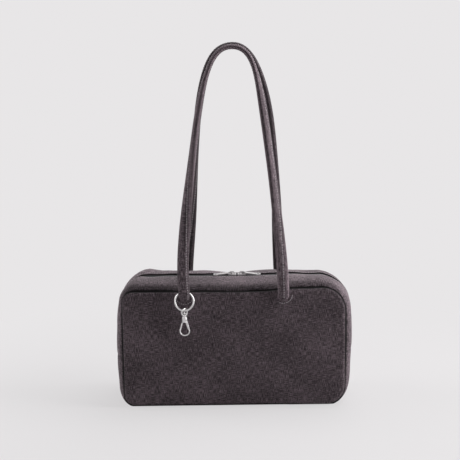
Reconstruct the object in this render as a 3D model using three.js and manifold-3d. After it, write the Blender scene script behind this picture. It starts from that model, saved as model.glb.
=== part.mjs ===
// A small soft bowler bag in washed denim: two flat panels with a gusset round them, a two-way zip
// along the top, two arched rope handles, and a swivel clasp on a key ring.
// Millimetres, +Z up. The front faces -Y, and the origin is the middle of the base.
import * as THREE from 'three';
import { mergeVertices } from 'three/addons/utils/BufferGeometryUtils.js';
import Module from 'manifold-3d';

// Body
const PANEL_WIDTH = 276; // between the two side seams of a panel
const PANEL_HEIGHT = 144; // between its lower and its upper seam
const BODY_DEPTH = 100; // from the front face to the rear face
const CORNER_RADIUS = 27; // of the seam round a panel
const GUSSET_BULGE = 10; // how far the gusset swells past the seams
const PANEL_LIFT = 4; // the lower seams' height above the floor
const BASE_RAMP = 0.12; // share of the half depth over which the base rises to a seam
const SIDE_SEAM_HEIGHT = 65; // where the zip gusset meets the bottom gusset

// Cloth, sheets and clearances
const DENIM = 1.8; // shell cloth with its fused backing
const LINING = 0.8;
const FOAM = 2.5;
const PATCH = 0.8;
const BOARD = 2;
const GAP = 0.3; // clearance between pieces that touch

// Zip
const ZIP_MIDDLE = 3; // the sliders meet a little right of the middle
const FLAP_HALF_LENGTH = 92; // the stretch on each side of the sliders that swings open
const ZIP_SLOT_HALF = 6; // from the zip's middle to the folded denim edges
const TAPE_HALF = 11;
const TAPE = 0.5;
const ROW_WIDTH = 2.2; // one row of coil teeth
const ROW_HEIGHT = 1.6;
const ROW_SPREAD = 1.1; // how far each row steps aside for a slider's wedge
const ROW_OVERHANG = 6; // the rows run on past the flaps, to where the sliders park
const ROWS_APART = 0.38; // share of a slider's length up to which the rows stay apart
const ROWS_CLOSED = 0.82; // and from which they are closed

// Sliders and pulls
const SLIDER_LENGTH = 10;
const SLIDER_WALL = 1;
const SLIDER_FLANGE = 0.8;
const SLIDER_NOSE_GAP = 0.8; // from the meeting point to a slider's nose
const SLIDER_SHOULDER = 0.57; // share of its length at which it starts to narrow
const WEDGE_LENGTH = 3.9; // the tapered post inside it that parts the rows
const WEDGE_SETBACK = 0.5;
const BAIL_START = 0.22; // shares of the slider's length where the bail stands
const BAIL_END = 0.88;
const BAIL_WIDTH = 2.2;
const BAIL_WALL = 1;
const BAIL_HEIGHT = 2.8;
const BAIL_CHAMFER = 1.2;
const PULL_LENGTH = 23.5; // from its pivot to its far end
const PULL_WIDTH = 5.4;
const PULL_END_RADIUS = 3;
const PULL_HOLE_RADIUS = 1.3;
const PULL_THICKNESS = 1.2;
const PULL_WAIST = 0.75; // share of its width that it narrows to
const PULL_SHOULDER = 1; // from its window to where it starts to narrow
const PULL_TAPER = 2;

// Handles
const FOOT_SPACING = 120; // between the middles of a handle's two feet
const FOOT_SHIFT = -1.4; // both pairs of feet stand a little left of the bag's middle
const HANDLE_RISE = 291; // from the top of the feet to the middle of the arch
const HANDLE_WIDTH = 14;
const HANDLE_THICKNESS = 9;
const HANDLE_WALL = 1.6;
const LEG_NARROWING = 0.75; // a leg sets out towards this share of its foot's distance from the middle
const LEG_LEAN = 0.93; // and this share of its distance from the zip
const LEG_STRAIGHT = 0.32; // over this share of the rise
const ARCH_FULLNESS = 0.94; // share of the feet's spacing that the arch keeps
const TWIST_FROM = 0.02; // shares of a leg between which it turns from wide side forward to wide side up
const TWIST_TO = 0.5;
const CORE_CLEARANCE = 0.7; // round the cord inside a handle's cover
const FOOT_OVERLAP = 14; // how far a foot reaches down over its panel
const FOOT_END_THICKNESS = 5;
const FOOT_STAND = 1.5; // the feet reach this far above the top seam
const PATCH_MARGIN = 6;

// Base board and pocket
const BOARD_MARGIN = 6; // from the board to the start of the corners and of the ramps
const POCKET_WIDTH = 130;
const POCKET_HEIGHT = 75;
const POCKET_BASE = 42;
const POCKET_CORNER = 10;

// Key ring and clasp
const RING_DIAMETER = 25;
const RING_WIRE = 2.5;
const RING_TILT = THREE.MathUtils.degToRad(14); // its lower edge hangs clear of the panel
const RING_DROP = 1.3; // from the top seam down to the middle of its top wire
const EYE_WIRE = 1.8;
const EYE_DIAMETER = 10.6;
const EYE_TURN = Math.PI / 4;
const BOSS_RADIUS = 2.6;
const BOSS_HEIGHT = 1.5;
const POST_RADIUS = 1.1;
const POST_HEAD_RADIUS = 1.7;
const POST_DEPTH = 2.2; // how far the post reaches into the collar
const COLLAR_TOP_RADIUS = 2.7;
const COLLAR_RADIUS = 3.2;
const COLLAR_HEIGHT = 6.3;
const HOOK_WIRE = 2.4;
const HOOK_HALF_WIDTH = 5.2; // to the middle of its wire
const HOOK_LENGTH = 16.2; // from the collar to the middle of the wire at its lowest point
const GATE_OFFSET = 1.7; // the gate's pivot, sideways and up from the middle of the collar's base
const NOSE_INSET = 0.2;
const NOSE_HEIGHT = 0.385; // the nose's height above the hook's lowest point, as a share of its length
const GATE_THICKNESS = 1.4;
const GATE_HALF_WIDTH = 1;
const GATE_KNUCKLE = 0.5; // metal round the pin's hole
const PIN_RADIUS = 0.5;
const SPRING_WIRE = 0.4;
const SPRING_TURNS = 1.25;

// Fineness of curved surfaces
const ARC_STEPS = 6;
const CLOTH_STEPS = [0, 0.4, 0.7]; // shares of the half depth where the gusset's cloth bends
const HANDLE_STEPS = 15;
const HANDLE_SIDES = 12;
const TURNED_SIDES = 16;
const WIRE_SIDES = 8;

// Values worked out from those above
const HALF_DEPTH = BODY_DEPTH / 2;
const TOP_SEAM = PANEL_LIFT + PANEL_HEIGHT;
const ZIP_TOP = TOP_SEAM + GUSSET_BULGE;
const TOP_RUN = PANEL_WIDTH / 2 - CORNER_RADIUS;
const SIDE_RUN = PANEL_HEIGHT - 2 * CORNER_RADIUS;
const CORNER_RUN = (CORNER_RADIUS * Math.PI) / 2;
const HALF_RUN = 2 * TOP_RUN + 2 * CORNER_RUN + SIDE_RUN;
const SIDE_SEAM = TOP_RUN + CORNER_RUN + TOP_SEAM - CORNER_RADIUS - SIDE_SEAM_HEIGHT;

const FOAM_DEPTH = DENIM + GAP;
const PATCH_DEPTH = FOAM_DEPTH + FOAM + GAP;
const LINING_DEPTH = PATCH_DEPTH + PATCH + GAP;
const POCKET_DEPTH = LINING_DEPTH + LINING + GAP;
const LINING_EDGE = HALF_DEPTH - POCKET_DEPTH;

const TAPE_TOP = DENIM + GAP;
const TAPE_MIDDLE = TAPE_TOP + TAPE / 2;
const ROW_INNER = GAP / 2;
const ROW_OUTER = ROW_INNER + ROW_WIDTH;
const ROW_HALF_LENGTH = FLAP_HALF_LENGTH + ROW_OVERHANG;

const BED_HALF_HEIGHT = ROW_HEIGHT / 2 + GAP;
const SLIDER_TOP = BED_HALF_HEIGHT + SLIDER_WALL - TAPE_MIDDLE;
const BAIL_BASE = SLIDER_TOP + GAP;
const BAIL_FROM = SLIDER_NOSE_GAP + BAIL_START * SLIDER_LENGTH;
const BAIL_TO = SLIDER_NOSE_GAP + BAIL_END * SLIDER_LENGTH;
const PULL_PIVOT_X = BAIL_TO - BAIL_WALL - PULL_THICKNESS;
const PULL_PIVOT_Z = (SLIDER_TOP + BAIL_BASE + BAIL_HEIGHT - BAIL_WALL) / 2;

const FOOT_TOP = TOP_SEAM + FOOT_STAND;
const FOOT_BASE = TOP_SEAM - FOOT_OVERLAP;
const FOOT_BACK = HALF_DEPTH + GAP;

const RING_RADIUS = (RING_DIAMETER - RING_WIRE) / 2;
const RING_PIVOT = new THREE.Vector3(
  FOOT_SHIFT - FOOT_SPACING / 2,
  -(HALF_DEPTH + RING_WIRE / 2 + GAP),
  TOP_SEAM - RING_DROP,
);
const EYE_RADIUS = (EYE_DIAMETER - EYE_WIRE) / 2;
const EYE_CENTRE = (RING_WIRE + EYE_WIRE) / 2 + GAP - EYE_RADIUS;
const EYE_FLOOR = EYE_CENTRE - EYE_RADIUS;
const BOSS_BASE = EYE_FLOOR - EYE_WIRE / 2 - GAP / 2;
const COLLAR_TOP = BOSS_BASE - GAP;
const COLLAR_BASE = COLLAR_TOP - COLLAR_HEIGHT;
const HOOK_BASE = COLLAR_BASE - HOOK_LENGTH;
const GATE_PIVOT = new THREE.Vector2(GATE_OFFSET, COLLAR_BASE + GATE_OFFSET);
const NOSE = new THREE.Vector2(HOOK_HALF_WIDTH - NOSE_INSET, HOOK_BASE + NOSE_HEIGHT * HOOK_LENGTH);

const wasm = await Module();
wasm.setup();

const DENIM_COLOUR = 0x4b494d;
const STRAP_COLOUR = 0x555357;
const LINING_COLOUR = 0x35343a;
const TAPE_COLOUR = 0x2a2a2d;
const FOAM_COLOUR = 0xd8d5cc;
const BOARD_COLOUR = 0x8a7a62;
const CORD_COLOUR = 0xcfc9bb;
const STEEL_COLOUR = 0xb9babd;

const bag = new THREE.Group();

function cloth(colour) {
  return new THREE.MeshStandardMaterial({ color: colour, roughness: 0.9, metalness: 0 });
}

function metal() {
  return new THREE.MeshStandardMaterial({ color: STEEL_COLOUR, roughness: 0.3, metalness: 1 });
}

function addMesh(parent, name, geometry, material) {
  const mesh = new THREE.Mesh(geometry, material);
  mesh.name = name;
  parent.add(mesh);
  return mesh;
}

// Solids for cutting and joining

function toSolid(geometry) {
  const bare = new THREE.BufferGeometry();
  bare.setAttribute('position', geometry.getAttribute('position'));
  bare.setIndex(geometry.index);
  const merged = mergeVertices(bare, 1e-3);
  return new wasm.Manifold(
    new wasm.Mesh({
      numProp: 3,
      vertProperties: merged.getAttribute('position').array,
      triVerts: new Uint32Array(merged.index.array),
    }),
  );
}

function toGeometry(solid) {
  const mesh = solid.getMesh();
  const geometry = new THREE.BufferGeometry();
  geometry.setAttribute('position', new THREE.BufferAttribute(new Float32Array(mesh.vertProperties), 3));
  geometry.setIndex(new THREE.BufferAttribute(new Uint32Array(mesh.triVerts), 1));
  return geometry;
}

function cut(geometry, ...tools) {
  let solid = toSolid(geometry);
  for (const tool of tools) solid = solid.subtract(toSolid(tool));
  return toGeometry(solid);
}

function join(...geometries) {
  let solid = toSolid(geometries[0]);
  for (const other of geometries.slice(1)) solid = solid.add(toSolid(other));
  return toGeometry(solid);
}

// Lofted solids

function fromTriangles(points, triangles) {
  const geometry = new THREE.BufferGeometry().setFromPoints(points);
  let volume = 0;
  for (const [a, b, c] of triangles) {
    volume += points[a].dot(new THREE.Vector3().crossVectors(points[b], points[c]));
  }
  const outward = volume > 0 ? triangles : triangles.map(([a, b, c]) => [a, c, b]);
  geometry.setIndex(outward.flat());
  return geometry;
}

function sideTriangles(ringCount, sides, first, flipped) {
  const triangles = [];
  for (let ring = 0; ring + 1 < ringCount; ring++) {
    for (let side = 0; side < sides; side++) {
      const a = first + ring * sides + side;
      const b = first + ring * sides + ((side + 1) % sides);
      const c = a + sides;
      const d = b + sides;
      triangles.push(...(flipped ? [[a, d, b], [a, c, d]] : [[a, b, d], [a, d, c]]));
    }
  }
  return triangles;
}

// A closed solid through rings of equally many points. The section is one ring's flat outline.
function loft(rings, section) {
  const sides = section.length;
  const last = (rings.length - 1) * sides;
  const triangles = sideTriangles(rings.length, sides, 0, false);
  const cap = THREE.ShapeUtils.triangulateShape(section, []);
  const turned = THREE.ShapeUtils.isClockWise(section);
  for (const [a, b, c] of cap) {
    const [p, q] = turned ? [c, b] : [b, c];
    triangles.push([a, q, p], [last + a, last + p, last + q]);
  }
  return fromTriangles(rings.flat(), triangles);
}

// A pipe between outer rings and inner rings, open at both ends.
function pipe(outerRings, innerRings) {
  const sides = outerRings[0].length;
  const count = outerRings.length;
  const inner = count * sides;
  const triangles = [
    ...sideTriangles(count, sides, 0, false),
    ...sideTriangles(count, sides, inner, true),
  ];
  const last = (count - 1) * sides;
  for (let side = 0; side < sides; side++) {
    const next = (side + 1) % sides;
    triangles.push([side, inner + side, inner + next], [side, inner + next, next]);
    triangles.push(
      [last + side, inner + last + next, inner + last + side],
      [last + side, last + next, inner + last + next],
    );
  }
  return fromTriangles([...outerRings.flat(), ...innerRings.flat()], triangles);
}

// Flat sheets standing behind a panel's face

function roundedRectangle(width, height, radius, baseZ) {
  const shape = new THREE.Shape();
  const right = width / 2 - radius;
  const low = baseZ + radius;
  const high = baseZ + height - radius;
  shape.absarc(right, high, radius, Math.PI / 2, 0, true);
  shape.absarc(right, low, radius, 0, -Math.PI / 2, true);
  shape.absarc(-right, low, radius, -Math.PI / 2, -Math.PI, true);
  shape.absarc(-right, high, radius, Math.PI, Math.PI / 2, true);
  return shape;
}

function panelShape(inset) {
  return roundedRectangle(
    PANEL_WIDTH - 2 * inset,
    PANEL_HEIGHT - 2 * inset,
    CORNER_RADIUS - inset,
    PANEL_LIFT + inset,
  );
}

// side is -1 at the front and 1 at the rear, and depth is measured inwards from that face.
function sheet(shape, depth, thickness, side) {
  const geometry = new THREE.ExtrudeGeometry(shape, {
    depth: thickness,
    bevelEnabled: false,
    curveSegments: ARC_STEPS,
  });
  geometry.rotateX(Math.PI / 2);
  const back = side < 0 ? -(HALF_DEPTH - depth - thickness) : HALF_DEPTH - depth;
  return geometry.translate(0, back, 0);
}

// The gusset: strips that follow the panels' seam and swell between the two panels

// The seam's point and outward direction, at a distance along it from the top middle towards +X.
function seamAt(distance) {
  const wrapped = Math.abs(distance) > HALF_RUN ? distance - Math.sign(distance) * 2 * HALF_RUN : distance;
  const side = Math.sign(wrapped) || 1;
  let run = Math.abs(wrapped);
  const at = (x, z, outX, outZ) => ({ x: side * x, z, outX: side * outX, outZ });
  if (run <= TOP_RUN) return at(run, TOP_SEAM, 0, 1);
  run -= TOP_RUN;
  if (run <= CORNER_RUN) return cornerAt(at, TOP_SEAM - CORNER_RADIUS, Math.PI / 2 - run / CORNER_RADIUS);
  run -= CORNER_RUN;
  if (run <= SIDE_RUN) return at(PANEL_WIDTH / 2, TOP_SEAM - CORNER_RADIUS - run, 1, 0);
  run -= SIDE_RUN;
  if (run <= CORNER_RUN) return cornerAt(at, PANEL_LIFT + CORNER_RADIUS, -run / CORNER_RADIUS);
  run -= CORNER_RUN;
  return at(TOP_RUN - run, PANEL_LIFT, 0, -1);
}

function cornerAt(at, centreZ, angle) {
  const outX = Math.cos(angle);
  const outZ = Math.sin(angle);
  return at(TOP_RUN + CORNER_RADIUS * outX, centreZ + CORNER_RADIUS * outZ, outX, outZ);
}

// How far the gusset stands out from the seam. Its base is flat in the middle, to stand on.
function bulgeAt(outZ, y) {
  const share = Math.abs(y) / HALF_DEPTH;
  const down = Math.max(0, -outZ);
  const round = GUSSET_BULGE * (1 - share ** 3);
  const flat = PANEL_LIFT * Math.min(1, (1 - share) / BASE_RAMP);
  return (1 - down) * round + down * flat;
}

function seamSteps(from, to) {
  const bends = [];
  for (const start of [TOP_RUN, TOP_RUN + CORNER_RUN + SIDE_RUN]) {
    for (let step = 0; step <= ARC_STEPS; step++) {
      const bend = start + (CORNER_RUN * step) / ARC_STEPS;
      bends.push(bend, -bend, 2 * HALF_RUN - bend);
    }
  }
  const inside = bends.filter((bend) => bend > from && bend < to);
  return [from, ...inside.sort((a, b) => a - b), to];
}

// A strip along the seam from one distance to another. Its section holds (y, depth below the surface),
// and lift is how much deeper it lies where it passes under the bag. Both its ends face up or sideways,
// so their outline is the one above the base.
function strip(from, to, section, lift = 0) {
  const rings = seamSteps(from, to).map((distance) => {
    const seam = seamAt(distance);
    return section.map(({ x: y, y: depth }) => {
      const out = bulgeAt(seam.outZ, y) - depth - lift * Math.max(0, -seam.outZ);
      return new THREE.Vector3(seam.x + seam.outX * out, y, seam.z + seam.outZ * out);
    });
  });
  const outline = section.map(({ x: y, y: depth }) => new THREE.Vector2(y, bulgeAt(0, y) - depth));
  return loft(rings, outline);
}

function clothSection(fromY, toY, depth, thickness) {
  const shares = [...CLOTH_STEPS, TAPE_HALF / HALF_DEPTH, 1 - BASE_RAMP, 1 - BASE_RAMP / 2];
  const all = shares.flatMap((share) => [share * HALF_DEPTH, -share * HALF_DEPTH]);
  const inside = [...new Set(all)].filter((y) => y > fromY && y < toY);
  const steps = [fromY, ...inside.sort((a, b) => a - b), toY];
  const upper = steps.map((y) => new THREE.Vector2(y, depth));
  const lower = steps.map((y) => new THREE.Vector2(y, depth + thickness)).reverse();
  return [...upper, ...lower];
}

// The same strip on the front half (side -1) or the rear half (side 1).
function halfSection(side, inner, outer, depth, thickness) {
  const [from, to] = side < 0 ? [-outer, -inner] : [inner, outer];
  return clothSection(from, to, depth, thickness);
}

function addPanels() {
  for (const [name, side] of [['front', -1], ['rear', 1]]) {
    const inset = DENIM + GAP;
    addMesh(bag, `${name}_panel`, sheet(panelShape(inset), 0, DENIM, side), cloth(DENIM_COLOUR));
    const foam = sheet(panelShape(inset + GAP), FOAM_DEPTH, FOAM, side);
    addMesh(bag, `${name}_foam`, foam, cloth(FOAM_COLOUR));
    const lining = sheet(panelShape(inset + GAP), LINING_DEPTH, LINING, side);
    addMesh(bag, `${name}_lining`, lining, cloth(LINING_COLOUR));
  }
  const pocket = roundedRectangle(POCKET_WIDTH, POCKET_HEIGHT, POCKET_CORNER, POCKET_BASE);
  addMesh(bag, 'slip_pocket', sheet(pocket, POCKET_DEPTH, LINING, 1), cloth(LINING_COLOUR));
}

function addGusset() {
  const from = SIDE_SEAM + GAP;
  const to = 2 * HALF_RUN - SIDE_SEAM - GAP;
  const shell = clothSection(-HALF_DEPTH, HALF_DEPTH, 0, DENIM);
  addMesh(bag, 'bottom_gusset', strip(from, to, shell), cloth(DENIM_COLOUR));
  const inner = clothSection(-LINING_EDGE, LINING_EDGE, DENIM + GAP, LINING);
  addMesh(bag, 'bottom_lining', strip(from, to, inner, BOARD + GAP), cloth(LINING_COLOUR));

  const length = 2 * (TOP_RUN - BOARD_MARGIN);
  const width = 2 * (HALF_DEPTH * (1 - BASE_RAMP) - BOARD_MARGIN);
  const board = new THREE.BoxGeometry(length, width, BOARD);
  board.translate(0, 0, DENIM + GAP + BOARD / 2);
  addMesh(bag, 'base_board', board, cloth(BOARD_COLOUR));
}

// The zip gusset: a flap on each side of the zip, and the four ends that run down to the side seams.
function addZipGusset() {
  const ends = [
    ['right', ZIP_MIDDLE + FLAP_HALF_LENGTH + GAP, SIDE_SEAM],
    ['left', -SIDE_SEAM, ZIP_MIDDLE - FLAP_HALF_LENGTH - GAP],
  ];
  const flap = [ZIP_MIDDLE - FLAP_HALF_LENGTH, ZIP_MIDDLE + FLAP_HALF_LENGTH];
  for (const [name, side] of [['front', -1], ['rear', 1]]) {
    const shell = halfSection(side, ZIP_SLOT_HALF, HALF_DEPTH, 0, DENIM);
    const lining = halfSection(side, TAPE_HALF + GAP, LINING_EDGE, DENIM + GAP, LINING);
    addMesh(bag, `${name}_zip_flap`, strip(...flap, shell), cloth(DENIM_COLOUR));
    addMesh(bag, `${name}_flap_lining`, strip(...flap, lining), cloth(LINING_COLOUR));
    for (const [end, from, to] of ends) {
      addMesh(bag, `${name}_${end}_gusset_end`, strip(from, to, shell), cloth(DENIM_COLOUR));
      addMesh(bag, `${name}_${end}_end_lining`, strip(from, to, lining), cloth(LINING_COLOUR));
    }
  }
}

// How far the rows step aside at a distance from the point where the sliders meet.
function spreadAt(distance) {
  const closed = SLIDER_NOSE_GAP + ROWS_CLOSED * SLIDER_LENGTH;
  const open = SLIDER_NOSE_GAP + ROWS_APART * SLIDER_LENGTH;
  return ROW_SPREAD * (1 - THREE.MathUtils.smoothstep(distance, open, closed));
}

// A bar along one flap's zip edge, between two distances from the zip's middle.
function zipBar(side, innerAt, outerAt, halfHeight) {
  const half = [0, 1 / 3, 2 / 3, 1].map((step) => {
    const share = THREE.MathUtils.lerp(ROWS_APART, ROWS_CLOSED, step);
    return SLIDER_NOSE_GAP + share * SLIDER_LENGTH;
  });
  const steps = [...half.map((x) => -x).reverse(), ...half];
  const rings = [-ROW_HALF_LENGTH, ...steps, ROW_HALF_LENGTH].map((x) => {
    const spread = spreadAt(Math.abs(x));
    const corners = [
      [innerAt(spread), -halfHeight],
      [outerAt(spread), -halfHeight],
      [outerAt(spread), halfHeight],
      [innerAt(spread), halfHeight],
    ];
    return corners.map(([y, z]) => new THREE.Vector3(ZIP_MIDDLE + x, side * y, ZIP_TOP - TAPE_MIDDLE + z));
  });
  const square = [[0, 0], [1, 0], [1, 1], [0, 1]].map(([x, y]) => new THREE.Vector2(x, y));
  return loft(rings, square);
}

// The zip that stays shut at each end: both tapes and the closed rows, in one strip.
function zipEndSection() {
  const half = ROW_HEIGHT / 2;
  const right = [
    [ROW_OUTER, TAPE_MIDDLE - half],
    [ROW_OUTER, TAPE_TOP],
    [TAPE_HALF, TAPE_TOP],
    [TAPE_HALF, TAPE_TOP + TAPE],
    [ROW_OUTER, TAPE_TOP + TAPE],
    [ROW_OUTER, TAPE_MIDDLE + half],
  ];
  const left = right.map(([y, depth]) => [-y, depth]).reverse();
  return [...right, ...left].map(([y, depth]) => new THREE.Vector2(y, depth));
}

function addZip() {
  for (const [name, side] of [['front', -1], ['rear', 1]]) {
    const row = zipBar(side, (spread) => ROW_INNER + spread, (spread) => ROW_OUTER + spread, ROW_HEIGHT / 2);
    addMesh(bag, `${name}_zip_teeth`, row, cloth(TAPE_COLOUR));
    const tape = zipBar(side, (spread) => ROW_OUTER + spread + GAP, () => TAPE_HALF, TAPE / 2);
    addMesh(bag, `${name}_zip_tape`, tape, cloth(TAPE_COLOUR));
  }
  const section = zipEndSection();
  const right = strip(ZIP_MIDDLE + ROW_HALF_LENGTH + GAP, SIDE_SEAM, section);
  const left = strip(-SIDE_SEAM, ZIP_MIDDLE - ROW_HALF_LENGTH - GAP, section);
  addMesh(bag, 'right_zip_end', right, cloth(TAPE_COLOUR));
  addMesh(bag, 'left_zip_end', left, cloth(TAPE_COLOUR));
}

// Sliders, in a frame whose +X points from the meeting point to the slider's own end of the zip

function extrudeUp(shape, fromZ, toZ) {
  const settings = { depth: toZ - fromZ, bevelEnabled: false, curveSegments: ARC_STEPS };
  return new THREE.ExtrudeGeometry(shape, settings).translate(0, 0, fromZ);
}

function polygon(points) {
  return new THREE.Shape(points.map(([x, y]) => new THREE.Vector2(x, y)));
}

function sliderPlan(margin, overrun) {
  const nose = SLIDER_NOSE_GAP - overrun;
  const shoulder = SLIDER_NOSE_GAP + SLIDER_SHOULDER * SLIDER_LENGTH;
  const tail = SLIDER_NOSE_GAP + SLIDER_LENGTH + overrun;
  const wide = ROW_OUTER + ROW_SPREAD + GAP + margin;
  const narrow = ROW_OUTER + GAP + margin;
  const edge = [[nose, wide], [shoulder, wide], [tail, narrow]];
  return polygon([...edge.map(([x, y]) => [x, -y]), ...edge.reverse()]);
}

function sliderBody() {
  const bed = BED_HALF_HEIGHT;
  const block = extrudeUp(sliderPlan(SLIDER_FLANGE, 0), -bed - SLIDER_WALL, bed + SLIDER_WALL);
  const channel = extrudeUp(sliderPlan(0, 1), -bed, bed);
  const tapeSlot = new THREE.BoxGeometry(4 * SLIDER_LENGTH, 4 * TAPE_HALF, TAPE + 2 * GAP);
  const wedgeHalf = ROW_INNER + ROW_SPREAD - GAP;
  const wedgeNose = SLIDER_NOSE_GAP + WEDGE_SETBACK;
  const wedge = polygon([
    [wedgeNose, -wedgeHalf],
    [wedgeNose + WEDGE_LENGTH / 2, -wedgeHalf],
    [wedgeNose + WEDGE_LENGTH, 0],
    [wedgeNose + WEDGE_LENGTH / 2, wedgeHalf],
    [wedgeNose, wedgeHalf],
  ]);
  const post = extrudeUp(wedge, -bed - SLIDER_WALL / 2, bed + SLIDER_WALL / 2);
  return join(cut(block, channel, tapeSlot), post).translate(0, 0, -TAPE_MIDDLE);
}

function sliderBail() {
  const top = BAIL_HEIGHT;
  const wall = BAIL_WALL;
  const chamfer = BAIL_CHAMFER;
  const outline = polygon([
    [BAIL_FROM, 0],
    [BAIL_FROM + wall, 0],
    [BAIL_FROM + wall, top - wall],
    [BAIL_TO - wall, top - wall],
    [BAIL_TO - wall, 0],
    [BAIL_TO, 0],
    [BAIL_TO, top - chamfer],
    [BAIL_TO - chamfer, top],
    [BAIL_FROM + chamfer, top],
    [BAIL_FROM, top - chamfer],
  ]);
  const arch = extrudeUp(outline, -BAIL_WIDTH / 2, BAIL_WIDTH / 2);
  return arch.rotateX(Math.PI / 2).translate(0, 0, BAIL_BASE);
}

// A pull in its own frame: its pivot bar runs along Y through the origin.
function sliderPull() {
  const bar = PULL_THICKNESS / 2;
  const half = PULL_WIDTH / 2;
  const windowEnd = Math.hypot(BAIL_TO - PULL_PIVOT_X, BAIL_BASE + BAIL_HEIGHT - PULL_PIVOT_Z) + GAP;
  const endX = PULL_LENGTH - PULL_END_RADIUS;
  const waist = PULL_WAIST * half;
  const shoulder = windowEnd + PULL_SHOULDER;
  const neck = Math.PI - Math.asin(waist / PULL_END_RADIUS);
  const shape = new THREE.Shape();
  shape.moveTo(-bar, -half);
  shape.lineTo(shoulder, -half);
  shape.lineTo(shoulder + PULL_TAPER, -waist);
  shape.absarc(endX, 0, PULL_END_RADIUS, -neck, neck, false);
  shape.lineTo(shoulder + PULL_TAPER, waist);
  shape.lineTo(shoulder, half);
  shape.lineTo(-bar, half);
  const inner = BAIL_WIDTH / 2 + GAP;
  shape.holes.push(new THREE.Path(polygon([
    [bar, -inner],
    [bar, inner],
    [windowEnd, inner],
    [windowEnd, -inner],
  ]).getPoints()));
  shape.holes.push(new THREE.Path().absarc(endX, 0, PULL_HOLE_RADIUS, 0, 2 * Math.PI, true));
  return extrudeUp(shape, -bar, bar);
}

function addSliders() {
  for (const [name, turn] of [['right', 0], ['left', Math.PI]]) {
    const frame = new THREE.Group();
    frame.position.set(ZIP_MIDDLE, 0, ZIP_TOP);
    frame.rotation.z = turn;
    bag.add(frame);
    addMesh(frame, `${name}_slider_body`, sliderBody(), metal());
    addMesh(frame, `${name}_slider_bail`, sliderBail(), metal());
    const pull = addMesh(frame, `${name}_slider_pull`, sliderPull(), metal());
    pull.position.set(PULL_PIVOT_X, 0, PULL_PIVOT_Z);
  }
}

// Handles

function oval(halfWidth, halfThickness) {
  const points = [];
  for (let side = 0; side < HANDLE_SIDES; side++) {
    const angle = (2 * Math.PI * side) / HANDLE_SIDES;
    points.push(new THREE.Vector2(halfWidth * Math.cos(angle), halfThickness * Math.sin(angle)));
  }
  return points;
}

// One leg of a handle from its foot to the middle of the arch, drawn on the +X side for either hand.
function handleLeg(side, across) {
  const footX = FOOT_SPACING / 2 + across * FOOT_SHIFT;
  const footY = side * (FOOT_BACK + HANDLE_THICKNESS / 2);
  const archY = side * (HANDLE_WIDTH / 2 + GAP);
  const archZ = FOOT_TOP + HANDLE_RISE;
  return new THREE.CubicBezierCurve3(
    new THREE.Vector3(footX, footY, FOOT_TOP),
    new THREE.Vector3(LEG_NARROWING * footX, LEG_LEAN * footY, FOOT_TOP + LEG_STRAIGHT * HANDLE_RISE),
    new THREE.Vector3(ARCH_FULLNESS * footX, archY, archZ),
    new THREE.Vector3(0, archY, archZ),
  );
}

// Rings of a section along the whole arch. The wide side faces forward at the feet and turns up by the arch.
function handleRings(side, section) {
  const rings = [];
  for (let step = -HANDLE_STEPS; step <= HANDLE_STEPS; step++) {
    const across = Math.sign(-step) || 1;
    const along = 1 - Math.abs(step) / HANDLE_STEPS;
    const leg = handleLeg(side, across);
    const middle = leg.getPoint(along);
    const tangent = leg.getTangent(along);
    if (along === 0) tangent.set(0, 0, 1);
    if (along === 1) tangent.set(-1, 0, 0);
    const flat = new THREE.Vector3(0, 1, 0).addScaledVector(tangent, -tangent.y).normalize();
    const inPlane = new THREE.Vector3().crossVectors(flat, tangent).normalize();
    const turn = (Math.PI / 2) * THREE.MathUtils.smoothstep(along, TWIST_FROM, TWIST_TO);
    const wide = inPlane.clone().multiplyScalar(Math.cos(turn)).addScaledVector(flat, Math.sin(turn));
    const thin = flat.clone().multiplyScalar(Math.cos(turn)).addScaledVector(inPlane, -Math.sin(turn));
    const ring = section.map(({ x, y }) => {
      const point = middle.clone().addScaledVector(wide, x).addScaledVector(thin, y);
      point.x *= across;
      return point;
    });
    rings.push(ring);
  }
  return rings;
}

function footGeometry(side, x) {
  const half = HANDLE_WIDTH / 2;
  const roundFrom = FOOT_BASE + half;
  const roundedEnd = [0.12, 0.4, 0.7].map((share) => FOOT_BASE + share * half);
  const heights = [...roundedEnd, roundFrom, FOOT_TOP - GAP];
  const rings = heights.map((z) => {
    const below = Math.max(0, roundFrom - z);
    const halfWidth = Math.sqrt(half ** 2 - below ** 2);
    const share = THREE.MathUtils.clamp((z - FOOT_BASE) / (FOOT_TOP - FOOT_BASE), 0, 1);
    const thickness = THREE.MathUtils.lerp(FOOT_END_THICKNESS, HANDLE_THICKNESS, share);
    const middleY = side * (FOOT_BACK + thickness / 2);
    return oval(halfWidth, thickness / 2).map((p) => new THREE.Vector3(x + p.x, middleY + p.y, z));
  });
  return loft(rings, oval(half, HANDLE_THICKNESS / 2));
}

// Room behind a foot for the key ring's top wire and its swing.
function ringRoom() {
  const half = HANDLE_WIDTH / 2;
  const dip = RING_RADIUS - Math.sqrt(RING_RADIUS ** 2 - half ** 2);
  const reach = dip + RING_WIRE / 2 + GAP;
  const depth = -RING_PIVOT.y - HALF_DEPTH + reach;
  const height = FOOT_TOP - RING_PIVOT.z + reach;
  const room = new THREE.BoxGeometry(2 * HANDLE_WIDTH, depth, height);
  return room.translate(RING_PIVOT.x, -HALF_DEPTH - depth / 2, RING_PIVOT.z - reach + height / 2);
}

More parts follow.
